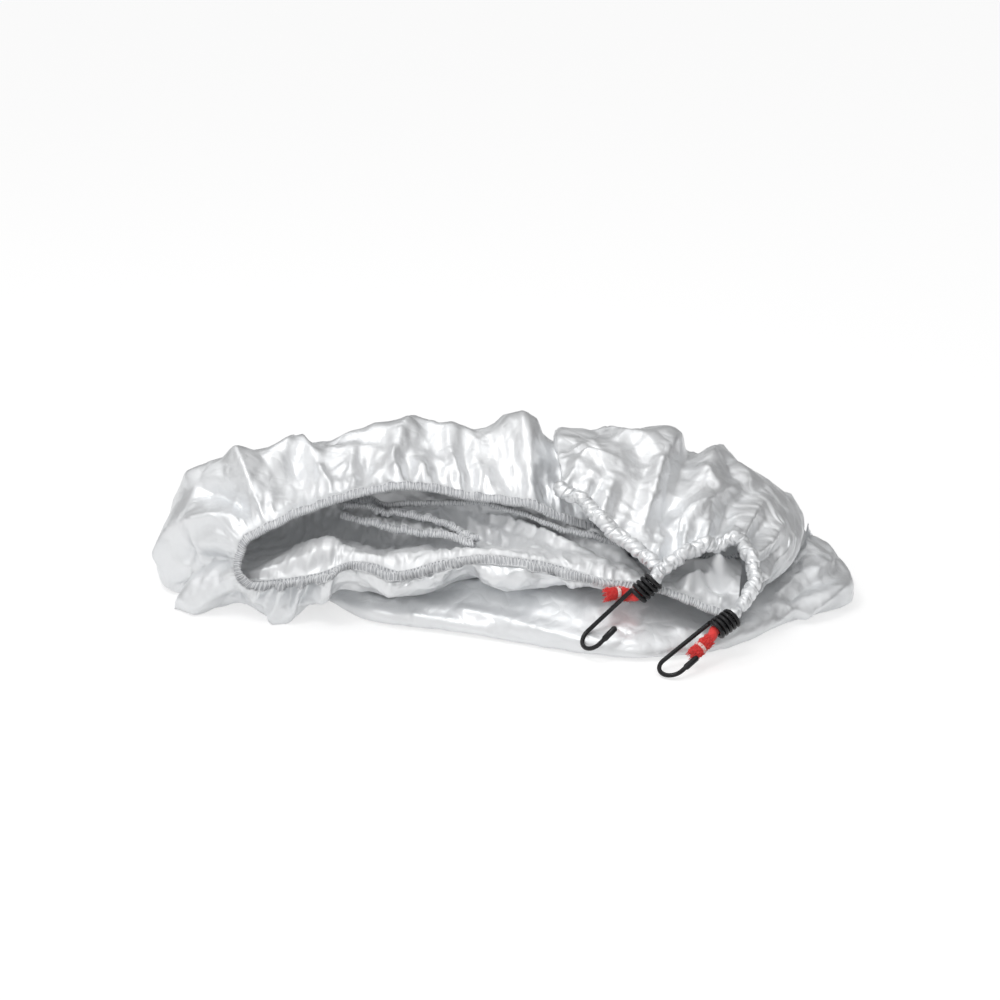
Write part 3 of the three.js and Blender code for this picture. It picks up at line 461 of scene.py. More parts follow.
# %% Meshes from grids
def grid_faces(rows, columns):
    """Four-cornered faces of a grid of points."""
    k = np.arange(rows * columns).reshape(rows, columns)
    return np.stack([k[:-1, :-1], k[:-1, 1:], k[1:, 1:], k[1:, :-1]], -1).reshape(-1, 4)

def make_mesh(name, points, faces):
    """A smooth-shaded mesh object; points are in metres."""
    mesh = bpy.data.meshes.new(name)
    mesh.from_pydata([tuple(p) for p in points], [], [tuple(int(i) for i in f) for f in faces])
    mesh.polygons.foreach_set("use_smooth", [True] * len(mesh.polygons))
    thing = bpy.data.objects.new(name, mesh)
    bpy.context.scene.collection.objects.link(thing)
    return thing

print("a grid of 3 by 4 points has", len(grid_faces(3, 4)), "faces")

# %% Moving a sheet off itself
WRINKLE_REACH = 3      # mm; wrinkles narrower than about this don't turn the direction

def blurred(values, reach):
    """Average over a square of the grid, `reach` steps each way, twice."""
    for _ in range(2):
        for axis in (0, 1):
            v = np.moveaxis(values, axis, 0)
            pad = np.concatenate([np.repeat(v[:1], reach + 1, 0), v, np.repeat(v[-1:], reach, 0)])
            total = np.cumsum(pad, 0)
            values = np.moveaxis((total[2 * reach + 1:] - total[:-2 * reach - 1]) / (2 * reach + 1), 0, axis)
    return values

def moved(sheet, rise, side):
    """The sheet pushed off itself by a rise, along directions that ignore its small wrinkles."""
    n = normals_of(blurred(sheet["points"], max(int(WRINKLE_REACH / sheet["pitch"]), 1)), side)
    return {**sheet, "points": sheet["points"] + n * rise[..., None]}

lifted = moved(sizes["base"], np.ones(sizes["base"]["points"].shape[:2]), 1)
print("lifted by 1 mm, the base is", round(float(lifted["points"][..., 2].max()), 1), "mm high")

# %% Buckling by Blender's Cloth
SIM_SCALE = 20
WIDEST_BUCKLE = 22     # mm

def let_buckle(sheet, side, spare, hold, seed, most=0.12, frames=22, bend=0.6, start=0.5):
    """The sheet after its spare cloth has gone into creases. spare and hold are grids."""
    points = sheet["points"]
    rows, columns = points.shape[:2]
    x, y = cut_places(sheet)
    first = (drift(x / 13, y / 13, seed) + 0.6 * drift(x / 6, y / 6, seed + 1)) * start
    pushed = points + normals_of(points, side) * first[..., None]
    trial = make_mesh("trial", points.reshape(-1, 3) * MM * SIM_SCALE, grid_faces(rows, columns))
    held, room = trial.vertex_groups.new(name="held"), trial.vertex_groups.new(name="room")
    for i, (h, r) in enumerate(zip(np.clip(hold, 0, 1).ravel(), np.clip(spare, 0, 1).ravel())):
        held.add([i], float(h), "REPLACE")
        room.add([i], 1 - float(r), "REPLACE")
    trial.shape_key_add(name="as laid")
    key = trial.shape_key_add(name="pushed")
    key.data.foreach_set("co", (pushed.reshape(-1, 3) * MM * SIM_SCALE).ravel())
    key.value = 0
    cloth = trial.modifiers.new("buckle", "CLOTH")
    rules = cloth.settings
    rules.quality, rules.mass = 7, 0.15
    rules.tension_stiffness = rules.compression_stiffness = 80
    rules.shear_stiffness, rules.bending_stiffness = 40, bend
    rules.tension_damping = rules.compression_damping = rules.shear_damping = 8
    rules.effector_weights.gravity = 0
    rules.vertex_group_mass, rules.pin_stiffness = "held", 1.0
    rules.vertex_group_shrink, rules.shrink_min, rules.shrink_max = "room", -most, 0.0
    cloth.collision_settings.use_collision = False
    cloth.point_cache.frame_start, cloth.point_cache.frame_end = 1, frames
    for f in range(1, frames + 1):
        key.value = 1.0 if 2 <= f <= 4 else 0.0
        bpy.context.scene.frame_set(f)
    shape = trial.evaluated_get(bpy.context.evaluated_depsgraph_get())
    after = np.empty(rows * columns * 3)
    shape.data.vertices.foreach_get("co", after)
    after = after.reshape(rows, columns, 3) / (MM * SIM_SCALE)
    bpy.data.objects.remove(trial)
    bpy.context.scene.frame_set(1)
    shift = after - points
    shift -= blurred(shift, max(int(WIDEST_BUCKLE / sheet["pitch"]), 1))
    far = np.linalg.norm(shift, axis=2)
    print("  buckled by up to", round(float(far.max()), 1), "mm, on average", round(float(far.mean()), 2))
    return {**sheet, "points": points + shift}

print("the cloth solver works at", SIM_SCALE, "times the size")

# %% [markdown]
# ## Hems
# An elastic hem is the edge of the cloth turned under over a strip of elastic. The turned
# edge is made as extra rows round the rim of the grid: each has a distance in from the edge
# and a height over the sheet. The elastic draws the cloth in, so the roll swells and
# narrows along its length, and small tucks run from it into the cloth. A separate strip
# laid over the edge would be easier, but a hem is one cloth with its sheet, and a strip
# would leave a gap.

# %% Hem rows
HEM_SHARE = 0.82       # of the full band that the profile below describes
# distance in from the edge, height over the sheet: underneath, round the edge, on top
BAND = [(7.4, -0.8), (6.4, -1.3), (4.6, -1.5), (2.4, -1.5), (0.8, -1.2), (-0.1, -0.5), (-0.3, 0.2),
        (0.1, 0.9), (1.2, 1.4), (3.2, 1.55), (5.2, 1.45), (6.4, 1.0), (7.4, 0.35)]
HEM = [(distance * HEM_SHARE, height) for distance, height in BAND]

def rim_places(points, distances, side):
    """Points and normals of the sheet at distances in from its first row."""
    rows = min(len(points), 14)
    near, n = points[:rows], normals_of(points, side)[:rows]
    run = np.vstack([np.zeros(points.shape[1]), np.cumsum(np.linalg.norm(np.diff(near, axis=0), axis=2), 0)])
    lift = n[:6].mean(0)
    inward = near[3] - near[0]
    inward /= np.linalg.norm(inward, axis=1, keepdims=True)
    places = np.empty((len(distances), points.shape[1], 3))
    for c in range(points.shape[1]):
        for k in range(3):
            places[:, c, k] = np.interp(distances, run[:, c], near[:, c, k])
    beyond = np.minimum(np.asarray(distances), 0)[:, None, None]
    return places + beyond * inward[None], lift / np.linalg.norm(lift, axis=1, keepdims=True), run

def with_rim(sheet, side, profile, swell, far=False):
    """The sheet's points with a turned rim, and the rim alone for the thread to follow."""
    points = sheet["points"][::-1] if far else sheet["points"]
    side = -side if far else side
    places, lift, run = rim_places(points, [d for d, _ in profile], side)
    x = sheet["along"] * sheet["long"]
    height = np.array([h for _, h in profile])[:, None] * swell(x, np.arange(len(profile)))
    rim = places + lift[None] * height[..., None]
    keep = int(np.searchsorted(run.mean(1), profile[-1][0] + 0.6))
    rows = np.concatenate([rim, points[keep:]])
    return (rows[::-1] if far else rows), rim, (side, len(rim))

print("the hem is a band", round(HEM[0][0], 1), "mm wide, made of", len(HEM), "rows")

# %% Gathers of a hem
def hem_puckers(sheet, far, seed, depth=1.8, pitch=8.0):
    """Small tucks that the elastic pulls into the cloth beside the hem."""
    x, y = cut_places(sheet)
    y = (sheet["wide"] - y if far else y) - 7.5
    warp = 0.8 * drift(x / 14, y / 20, seed) + 0.35 * drift(x / 5, y / 9, seed + 1)
    wave = 1 - 2 * np.abs(np.sin(np.pi * (x / pitch + warp))) ** 0.7
    size = depth * (0.55 + 0.45 * drift(x / 17, y / 30, seed + 2))
    return wave * size * np.exp(-np.maximum(y, 0) / 11.0) * np.clip((y + 3.0) / 5.0, 0, 1)

def hem_swell(seed):
    """An elastic hem that is a little thicker here and thinner there."""
    def swell(x, k):
        beat = 0.5 + 0.5 * drift(x / 4.2, 0 * x, seed)
        return (0.82 + 0.3 * beat)[None, :] * np.ones((len(k), 1))
    return swell

def ruched_swell(seed):
    """A hem pushed together so hard that it puffs and pinches."""
    def swell(x, k):
        beat = np.abs(np.sin(np.pi * (x / 4.4 + 0.7 * drift(x / 9, 0 * x, seed)))) ** 0.6
        size = 0.65 + 0.85 * beat * (0.8 + 0.2 * drift(x / 6, 0 * x, seed + 1))
        return size[None, :] * np.ones((len(k), 1))
    return swell

along_hem = np.arange(0.0, 60.0)
for name, swell in (("elastic", hem_swell(3)), ("ruched", ruched_swell(17))):
    sizes_here = swell(along_hem, [0])
    print(name, "hem swells from", round(float(sizes_here.min()), 2), "to", round(float(sizes_here.max()), 2))

# %% [markdown]
# ## Thread
# Overlock thread crosses the hem about every 1.2 mm, goes round the edge and comes back on
# the other side, locked by a line of thread along each long edge of the band. In a close
# view these stitches are what tells a hem from a plain rim, and they can't be faked by
# colour at the outline. Each stitch is a small tube that follows the rim's own rows.

# %% Tubes
def tubes(paths, ups, radius, sides=5, taper=0.0):
    """Thin tubes along many equal paths at once: points and faces. ups point off the cloth."""
    paths, ups = np.asarray(paths, float), np.asarray(ups, float)
    ahead = np.gradient(paths, axis=1)
    ahead /= np.maximum(np.linalg.norm(ahead, axis=2, keepdims=True), 1e-9)
    ups = ups - ahead * (ups * ahead).sum(2, keepdims=True)
    ups /= np.maximum(np.linalg.norm(ups, axis=2, keepdims=True), 1e-9)
    beside = np.cross(ahead, ups)
    n, length = paths.shape[:2]
    angle = np.arange(sides) / sides * 2 * np.pi
    t = np.linspace(0, 1, length)
    size = (radius * (1 - taper * t))[None, :, None, None]
    ring = (paths[:, :, None] + size * (np.cos(angle)[None, None, :, None] * ups[:, :, None]
            + np.sin(angle)[None, None, :, None] * beside[:, :, None]))
    k = np.arange(n * length * sides).reshape(n, length, sides)
    a, b = k[:, :-1], k[:, 1:]
    faces = np.stack([a, np.roll(a, -1, 2), np.roll(b, -1, 2), b], -1).reshape(-1, 4)
    return ring.reshape(-1, 3), faces

straight = np.stack([np.arange(13.0), np.zeros(13), np.zeros(13)], 1)[None]
print("one stitch of 13 places has", len(tubes(straight, straight * 0 + [0, 0, 1.0], 0.36)[1]), "faces")

# %% Overlock stitches
STITCH_PLACES = 13     # places along each stitch
LOCK_PLACES = 40       # places along each piece of locking line

def rim_at(rim, ups, column, row):
    """Places on the rim, and the way off it, at fractional columns and rows."""
    c = np.clip(column, 0, rim.shape[1] - 1.001)
    r = np.clip(row, 0, rim.shape[0] - 1.001)
    i, j = c.astype(int), r.astype(int)
    f, g = (c - i)[..., None], (r - j)[..., None]
    def mix(v):
        near = v[j, i] * (1 - f) + v[j, i + 1] * f
        next_row = v[j + 1, i] * (1 - f) + v[j + 1, i + 1] * f
        return near * (1 - g) + next_row * g
    return mix(rim), mix(ups)

def overlock(name, rim, side, pitch=1.2, radius=0.36, seed=1):
    """Stitches across a rim and a locking line along each of its long edges."""
    ups = normals_of(rim, side)
    rows, columns = rim.shape[:2]
    run = run_of(rim[rows // 2])
    count = int(run[-1] / pitch)
    rng = np.random.RandomState(seed)
    at = (np.arange(count) + 0.5 + rng.uniform(-0.22, 0.22, count)) * pitch
    middle = np.interp(at, run, np.arange(columns))
    step = columns / count
    row = np.linspace(0.6, rows - 1.7, STITCH_PLACES)[None, :] + rng.uniform(-0.25, 0.25, (count, 1))
    slant = np.where(np.arange(count) % 2, 1, -1)[:, None] * rng.uniform(0.1, 0.9, (count, 1))
    lean = slant * step * np.linspace(-1, 1, STITCH_PLACES)[None, :]
    wave = 0.12 * step * np.sin(np.linspace(0, 9, STITCH_PLACES))[None, :] * rng.uniform(-1, 1, (count, 1))
    column = middle[:, None] + lean + wave + rng.uniform(-0.12, 0.12, (count, 1)) * step
    place, up = rim_at(rim, ups, column, row)
    points, faces = tubes(place + up * radius * 0.75, up, radius * rng.uniform(0.85, 1.1))
    pieces = max(int(count * 4 / LOCK_PLACES), 1)
    line_t = np.linspace(0, count - 1, pieces * LOCK_PLACES + 1)
    line_c = np.interp(line_t, np.arange(count), middle)
    for edge_row in (rows - 2.0, 1.0):
        line_r = edge_row + 0.45 * np.sin(line_t * 2 * np.pi)
        where, off = rim_at(rim, ups, line_c, line_r)
        more, more_faces = tubes((where + off * radius)[None], off[None], radius * 0.8)
        faces = np.vstack([faces, more_faces + len(points)])
        points = np.vstack([points, more])
    thing = make_mesh(name, points * MM, faces)
    print(" ", name, count, "stitches over", round(float(run[-1])), "mm of hem")
    return thing

print("each stitch has", STITCH_PLACES, "places across the band")

# %% [markdown]
# ## Cloth pieces
# Now the sheets. Each goes the same way: grid, buckling at a coarse grid for the large
# facets, buckling again at a finer one for the small creases, then the panes and folds by
# hand, the tucks beside the hem, and the rim. The folds come after the solver, because it
# would iron them out. Near the hem there is more spare cloth, because the elastic has
# gathered it there. The flat cut's own distances are kept as the UV map, so that the
# weave runs true.

# %% A cloth mesh with its cut as UV map
def cloth_mesh(name, rows, sheet, bands=()):
    """A cloth mesh; bands are the row ranges of its hems, which take the second finish, a darker grey painted
    as shade under the stitches.
    """
    thing = make_mesh(name, rows.reshape(-1, 3) * MM, grid_faces(*rows.shape[:2]))
    band = np.zeros(rows.shape[0] - 1, int)
    for low, high in bands:
        band[low:high] = 1
    thing.data.materials.append(None)
    thing.data.materials.append(None)
    thing.data.polygons.foreach_set("material_index", np.repeat(band, rows.shape[1] - 1))
    u = np.broadcast_to(sheet["along"][None, :] * sheet["long"], rows.shape[:2])
    run = np.vstack([np.zeros(rows.shape[1]), np.cumsum(np.linalg.norm(np.diff(rows, axis=0), axis=2), 0)])
    uv = np.stack([u, np.broadcast_to(run.mean(1)[:, None], rows.shape[:2])], -1).reshape(-1, 2) * MM
    layer = thing.data.uv_layers.new(name="cut")
    corner = np.empty(len(thing.data.loops), int)
    thing.data.loops.foreach_get("vertex_index", corner)
    layer.data.foreach_set("uv", uv[corner].ravel())
    return thing

print("a cloth mesh takes two finishes: the sheet's and its hem band's")

# %% One cloth piece, from table to rim
# stiffness in bending, spare cloth at most, frames, first push in mm
COARSE_TURN = (0.6, 0.12, 24, 0.4)
FINE_TURN = (0.05, 0.06, 12, 0.12)
GROUND = 0.35          # mm; the lowest that cloth may lie

def cloth_piece(name, table, side, shape, spare, hold, seed, near=None, far=None, pitch=6.0, trim=0):
    """One sheet: grid, buckles, shape, tucks, rims. near and far are hems, trim is rows cut off."""
    sheet = finer(sheet_grid(table, pitch))
    for turn, (bend, most, frames, start) in enumerate((COARSE_TURN, FINE_TURN)):
        if turn == 1:
            sheet = finer(sheet)
        x, y = cut_places(sheet)
        sheet = let_buckle(sheet, side, spare(x, y, turn, sheet), hold(x, y, turn, sheet), seed + 7 * turn,
                           most=most, frames=frames, bend=bend, start=start)
    sheet = moved(sheet, shape(sheet), side)
    if near:
        sheet = moved(sheet, hem_puckers(sheet, False, seed + 3), side)
    if far:
        sheet = moved(sheet, hem_puckers(sheet, True, seed + 5), side)
    rows, rims, bands = sheet["points"][trim:], [], []
    if far:
        rows, rim, (rim_side, n) = with_rim({**sheet, "points": rows}, side, far[0], far[1], far=True)
        rims.append((rim, rim_side))
    if near:
        rows, rim, (rim_side, n) = with_rim({**sheet, "points": rows}, side, near[0], near[1])
        rims.append((rim, rim_side))
        bands.append((0, n - 2))
    if far:
        bands.append((rows.shape[0] - n + 1, rows.shape[0]))
    rows[..., 2] = np.maximum(rows[..., 2], GROUND)
    thing = cloth_mesh(name, rows, sheet, bands)
    print(name, rows.shape[0], "by", rows.shape[1], "points,", len(thing.data.polygons) * 2, "triangles")
    return thing, rims, sheet

def edge_hold(soft, rim=3.0):
    """Held fast at the hem, softly elsewhere; soft has a value for each turn."""
    def hold(x, y, turn, sheet):
        return np.where(y < rim, 1.0, soft[turn]) + 0 * x
    return hold

def gathered_spare(hem, body):
    """Share of the spare cloth: most at the hem, less further out."""
    def spare(x, y, turn, sheet):
        return body[turn] + (hem[turn] - body[turn]) * np.exp(-y / 15) + 0 * x
    return spare

print("a sheet buckles in two turns, with", COARSE_TURN[2], "and", FINE_TURN[2], "frames")

# %% [markdown]
# ## Front panel
# On the real cover this is the main cut: crown, closed end and lip round the mouth, with
# one elastic hem along its edge. Its folds are listed in the order in which one meets
# them on a walk along that hem, so that a fold that looks wrong is easy to find. Sculpting
# them would be freer, but a list can be read, changed and run again.

# %% Folds of the front panel
FRONT_FOLDS = [
    # from (station, outward), to, half width mm, rise mm, roundness
    # along the top rim, from the hook end: short folds where the elastic pulls
    ((0.045, 0.03), (0.040, 0.20), 9, 3, 1.2), ((0.062, 0.02), (0.056, 0.22), 10, -4, 1.3),
    ((0.080, 0.02), (0.082, 0.14), 9, -5, 1.2), ((0.094, 0.02), (0.099, 0.34), 10, 4, 1.0),
    ((0.110, 0.02), (0.128, 0.19), 13, -4, 1.4), ((0.128, 0.02), (0.134, 0.10), 7, 3, 1.2),
    ((0.146, 0.02), (0.160, 0.24), 8, -4.5, 1.2), ((0.158, 0.02), (0.176, 0.32), 9, 4, 1.0),
    ((0.178, 0.02), (0.182, 0.12), 6, -3, 1.2), ((0.190, 0.02), (0.194, 0.16), 7, 3, 1.2),
    ((0.205, 0.02), (0.208, 0.15), 7, -4.5, 1.2), ((0.216, 0.02), (0.222, 0.20), 6, 3.5, 1.2),
    ((0.230, 0.02), (0.232, 0.12), 6, -3, 1.2), ((0.243, 0.02), (0.246, 0.18), 7, -4, 1.2),
    ((0.254, 0.02), (0.262, 0.16), 6, 3, 1.2), ((0.270, 0.02), (0.286, 0.17), 7, -3, 1.2),
    # flat panes and ridges over the crown
    ((0.278, 0.30), (0.250, 0.25), 9, -3, 1.2), ((0.250, 0.25), (0.220, 0.19), 8, -3, 1.2),
    ((0.202, 0.38), (0.215, 0.20), 13, 4.5, 1.0), ((0.200, 0.34), (0.172, 0.27), 9, 3, 1.1),
    ((0.150, 0.36), (0.135, 0.20), 16, -5, 1.5), ((0.128, 0.42), (0.110, 0.24), 11, 4, 1.0),
    ((0.075, 0.36), (0.070, 0.14), 14, -5, 1.2), ((0.100, 0.46), (0.135, 0.74), 20, 4, 1.5),
    ((0.205, 0.42), (0.180, 0.72), 20, -5, 1.5), ((0.285, 0.42), (0.305, 0.70), 20, 4, 1.5),
    ((0.245, 0.40), (0.235, 0.60), 14, 4, 1.2), ((0.150, 0.45), (0.160, 0.66), 14, -4, 1.2),
    # the closed end: a shelf across it, a pocket below, a notch and a grey plane above
    ((0.470, 0.62), (0.436, 0.27), 22, 10.0, 1.0), ((0.436, 0.27), (0.380, 0.06), 17, 9.0, 1.0),
    ((0.478, 0.44), (0.440, 0.14), 13, -8, 1.1), ((0.461, 0.31), (0.434, 0.05), 11, 8, 1.0),
    ((0.480, 0.30), (0.456, 0.06), 11, -7, 1.1), ((0.410, 0.33), (0.378, 0.16), 14, -9, 1.0),
    ((0.378, 0.16), (0.371, 0.07), 9, -8, 1.0), ((0.362, 0.34), (0.355, 0.06), 17, 9.0, 1.0),
    ((0.316, 0.25), (0.302, 0.03), 21, -8, 1.1), ((0.312, 0.38), (0.328, 0.24), 15, 6, 1.0),
    ((0.303, 0.34), (0.290, 0.18), 9, 5, 1.0), ((0.290, 0.18), (0.276, 0.04), 8, 5, 1.0),
    ((0.350, 0.58), (0.352, 0.38), 22, -6, 1.2), ((0.405, 0.46), (0.392, 0.72), 16, 6, 1.1),
    # the deep crease above the corner that touches the ground
    ((0.512, 0.68), (0.497, 0.40), 13, -11, 1.0), ((0.497, 0.40), (0.486, 0.06), 11, -8, 1.0),
    ((0.530, 0.66), (0.513, 0.34), 15, 9, 1.0), ((0.540, 0.50), (0.556, 0.08), 14, 8, 1.0),
    ((0.568, 0.42), (0.580, 0.10), 16, -8, 1.2),
    # under the lip at the left, where the cloth meets the ground
    ((0.592, 0.08), (0.584, 0.34), 8, 4, 1.0), ((0.606, 0.06), (0.600, 0.30), 7, -3.5, 1.2),
    ((0.622, 0.06), (0.616, 0.34), 7, 4, 1.0), ((0.638, 0.06), (0.632, 0.32), 6, -4.5, 1.1),
    ((0.652, 0.06), (0.650, 0.36), 6, 4, 1.0), ((0.672, 0.06), (0.660, 0.38), 7, -5, 1.1),
    ((0.692, 0.05), (0.682, 0.38), 9, 4.5, 1.1),
    # the lower lip
    ((0.722, 0.05), (0.726, 0.26), 10, -3, 1.3), ((0.782, 0.05), (0.780, 0.30), 8, 4, 1.0),
    ((0.800, 0.05), (0.806, 0.26), 8, -4, 1.2), ((0.845, 0.05), (0.820, 0.24), 9, 4, 1.0),
    ((0.868, 0.06), (0.850, 0.24), 7, -3.5, 1.2), ((0.905, 0.06), (0.880, 0.26), 7, 4, 1.0),
    ((0.930, 0.06), (0.915, 0.26), 7, -3, 1.2), ((0.955, 0.06), (0.945, 0.26), 7, 3, 1.0),
]
print("front panel:", len(FRONT_FOLDS), "folds")

# %% Front panel
CLOSED_END = 0.42      # station in the middle of the closed end
LEAST_GATHERED = 0.43  # station where the elastic draws least
BACK_ENDS = 0.44       # station where the back of the heap ends

def front_shape(sheet):
    s = sheet["along"][None, :]
    calm = 1 - 0.75 * np.exp(-((s - CLOSED_END) / 0.10) ** 4)
    top = np.clip((BACK_ENDS - s) / 0.06, 0, 1)
    return fold_rise(sheet, FRONT_FOLDS) + faceted(sheet, 7) * calm + drapes(sheet, 83) * top

def front_spare(x, y, turn, sheet):
    """Little spare cloth round the closed end, where the elastic hardly gathers it."""
    calm = 1 - 0.85 * np.exp(-((sheet["along"][None, :] - LEAST_GATHERED) / 0.12) ** 4)
    return gathered_spare((0.5, 0.4), (0.0, 0.02))(x, y, turn, sheet) * calm

front_cloth, front_rims, _ = cloth_piece(
    "front_cloth", FRONT, -1, front_shape, front_spare,
    edge_hold((0.46, 0.5)), seed=11, near=(HEM, hem_swell(3)))
front_overlock = overlock("front_overlock", *front_rims[0], seed=5)

# %% [markdown]
# ## Hook-end panel and its ruched sleeve
# This end is drawn together on a cord, so its ridges fan out from the sleeve like the
# neck of a sack. The sheet stops at the sleeve's middle, and the sleeve is a tube laid
# along that edge: round puffs between narrow creases. The sheet's own rim could be rolled
# instead, as the hem is, but its grid is too coarse for puffs of 4 mm.

# %% Folds of the hook-end panel
REAR_FOLDS = [
    # left lobe
    ((0.115, 0.04), (0.165, 0.19), 8, 3, 1.1), ((0.165, 0.19), (0.255, 0.23), 9, 4, 1.0),
    ((0.150, 0.20), (0.200, 0.25), 8, -3, 1.2), ((0.180, 0.02), (0.215, 0.13), 6, -3.5, 1.1),
    ((0.225, 0.02), (0.250, 0.16), 6, 3, 1.1), ((0.262, 0.02), (0.275, 0.14), 6, -3, 1.1),
    ((0.300, 0.03), (0.320, 0.22), 10, -3, 1.3), ((0.372, 0.30), (0.350, 0.07), 10, 5, 1.0),
    ((0.290, 0.34), (0.330, 0.26), 13, -4, 1.3), ((0.210, 0.40), (0.300, 0.36), 12, 4, 1.1),
    # the deep valley between the lobes, down to the notch over the left hook
    ((0.480, 0.52), (0.440, 0.22), 15, -8, 1.2), ((0.440, 0.22), (0.385, 0.10), 12, -6.5, 1.1),
    ((0.425, 0.05), (0.435, 0.13), 6, 3, 1.1), ((0.455, 0.03), (0.470, 0.12), 6, -3, 1.1),
    # right lobe: the roll over the sleeve, then ridges that fan out from the hook
    ((0.470, 0.17), (0.640, 0.18), 11, 4.5, 1.3), ((0.520, 0.03), (0.510, 0.11), 6, -3.5, 1.1),
    ((0.560, 0.03), (0.565, 0.12), 6, 3, 1.1), ((0.600, 0.03), (0.610, 0.12), 6, -3.5, 1.1),
    ((0.650, 0.03), (0.665, 0.14), 6, 3, 1.1), ((0.690, 0.03), (0.700, 0.20), 9, -3.5, 1.2),
    ((0.560, 0.34), (0.640, 0.26), 12, 4, 1.1), ((0.650, 0.42), (0.700, 0.30), 12, -4, 1.2),
    ((0.735, 0.03), (0.745, 0.22), 8, 3, 1.1), ((0.780, 0.03), (0.790, 0.30), 9, 5.5, 1.0),
    ((0.812, 0.05), (0.830, 0.26), 9, -5, 1.1), ((0.840, 0.04), (0.865, 0.32), 9, 5, 1.0),
    ((0.880, 0.05), (0.890, 0.26), 9, -5.5, 1.1), ((0.915, 0.04), (0.910, 0.36), 9, 5, 1.0),
    ((0.945, 0.05), (0.945, 0.30), 8, -4, 1.1), ((0.260, 0.56), (0.310, 0.80), 18, -4, 1.5),
    ((0.600, 0.56), (0.550, 0.80), 20, 4, 1.4), ((0.420, 0.60), (0.410, 0.82), 15, 5, 1.2),
    ((0.700, 0.55), (0.690, 0.82), 15, -5, 1.2),
]
print("hook-end panel:", len(REAR_FOLDS), "folds")

# %% Hook-end panel
REAR_DEPTH = 1.25      # the folds here are this much deeper than listed
SLEEVE_ROWS = 4        # rows of the sheet that lie inside the sleeve

def rear_shape(sheet):
    _, y = cut_places(sheet)
    clear_of_sleeve = np.clip(y / 18, 0, 1)
    return (fold_rise(sheet, REAR_FOLDS) * REAR_DEPTH + faceted(sheet, 71, fine=0.7) * clear_of_sleeve
            + drapes(sheet, 87))

rear_cloth, _, rear_sheet = cloth_piece(
    "rear_cloth", REAR, 1, rear_shape, gathered_spare((0.6, 0.4), (0.0, 0.01)),
    edge_hold((0.46, 0.5)), seed=23, pitch=5.0, trim=SLEEVE_ROWS)

# %% Ruched sleeve
SLEEVE = 4.9           # mm; radius of the ruched cord sleeve

def ruches(run, angle, seed, tuck=4.5, depth=0.40):
    """Radius share over a gathered tube: round puffs between narrow slanting creases."""
    side, up = np.cos(angle), np.sin(angle)
    warp = 0.55 * drift(run / 9 + side, 2 + 1.2 * up, seed)
    warp = warp + 0.3 * drift(run / 3.6 + side, 1.4 * up, seed + 1)
    phase = run / tuck + 0.35 * side + warp
    puff = np.abs(np.sin(np.pi * phase)) ** 0.45
    size = 1 + 0.16 * drift(run / 5 + 0.7 * side, 0.8 * up, seed + 2)
    return (1 - depth + depth * puff) * size

def gathered_tube(name, middle, off_cloth, radius, seed, step=0.55, sides=30):
    """A ruched tube along a line; off_cloth is a direction off the cloth at each point."""
    run = run_of(middle)
    at = np.arange(0, run[-1], step)
    line = walk(middle, at)
    up = np.stack([np.interp(at, run, off_cloth[:, k]) for k in range(3)], 1)
    ahead = np.gradient(line, axis=0)
    ahead /= np.linalg.norm(ahead, axis=1, keepdims=True)
    up -= ahead * (up * ahead).sum(1, keepdims=True)
    up /= np.linalg.norm(up, axis=1, keepdims=True)
    beside = np.cross(ahead, up)
    angle = np.arange(sides) / sides * 2 * np.pi
    ends = np.clip(np.minimum(at, at[-1] - at) / 3, 0, 1) ** 0.5
    size = radius * ruches(at[:, None], angle[None, :], seed) * (0.35 + 0.65 * ends)[:, None]
    ring = line[:, None] + size[..., None] * (np.cos(angle)[None, :, None] * beside[:, None]
                                              + np.sin(angle)[None, :, None] * up[:, None])
    k = np.arange(ring.shape[0] * sides).reshape(-1, sides)
    faces = np.stack([k[:-1], np.roll(k[:-1], -1, 1), np.roll(k[1:], -1, 1), k[1:]], -1)
    faces = faces.reshape(-1, 4).tolist() + [tuple(k[0][::-1]), tuple(k[-1])]
    thing = make_mesh(name, ring.reshape(-1, 3) * MM, faces)
    print(" ", name, round(float(run[-1])), "mm of gathered sleeve,", len(faces), "faces")
    return thing

edge, deeper = rear_sheet["points"][0], rear_sheet["points"][SLEEVE_ROWS]
inward = (deeper - edge) / np.linalg.norm(deeper - edge, axis=1, keepdims=True)
sleeve_line = smooth_line((edge + inward * SLEEVE)[::4], 4)
sleeve_up = np.repeat(normals_of(rear_sheet["points"], 1)[:6].mean(0)[::4], 4, 0)[:len(sleeve_line)]
sleeve_cloth = gathered_tube("sleeve_cloth", sleeve_line, sleeve_up, SLEEVE, 9)

# %% [markdown]
# ## Folded-under panel
# The cloth under the heap is pulled flat by the weight on it, so its face is nearly calm:
# a few long creases, a short seam, and a rolled edge and lumps only where its right end
# comes free. The same steps make it, with hardly any spare cloth and faint panes. A plain
# smooth strip would do for the calm part, but not for the free end.

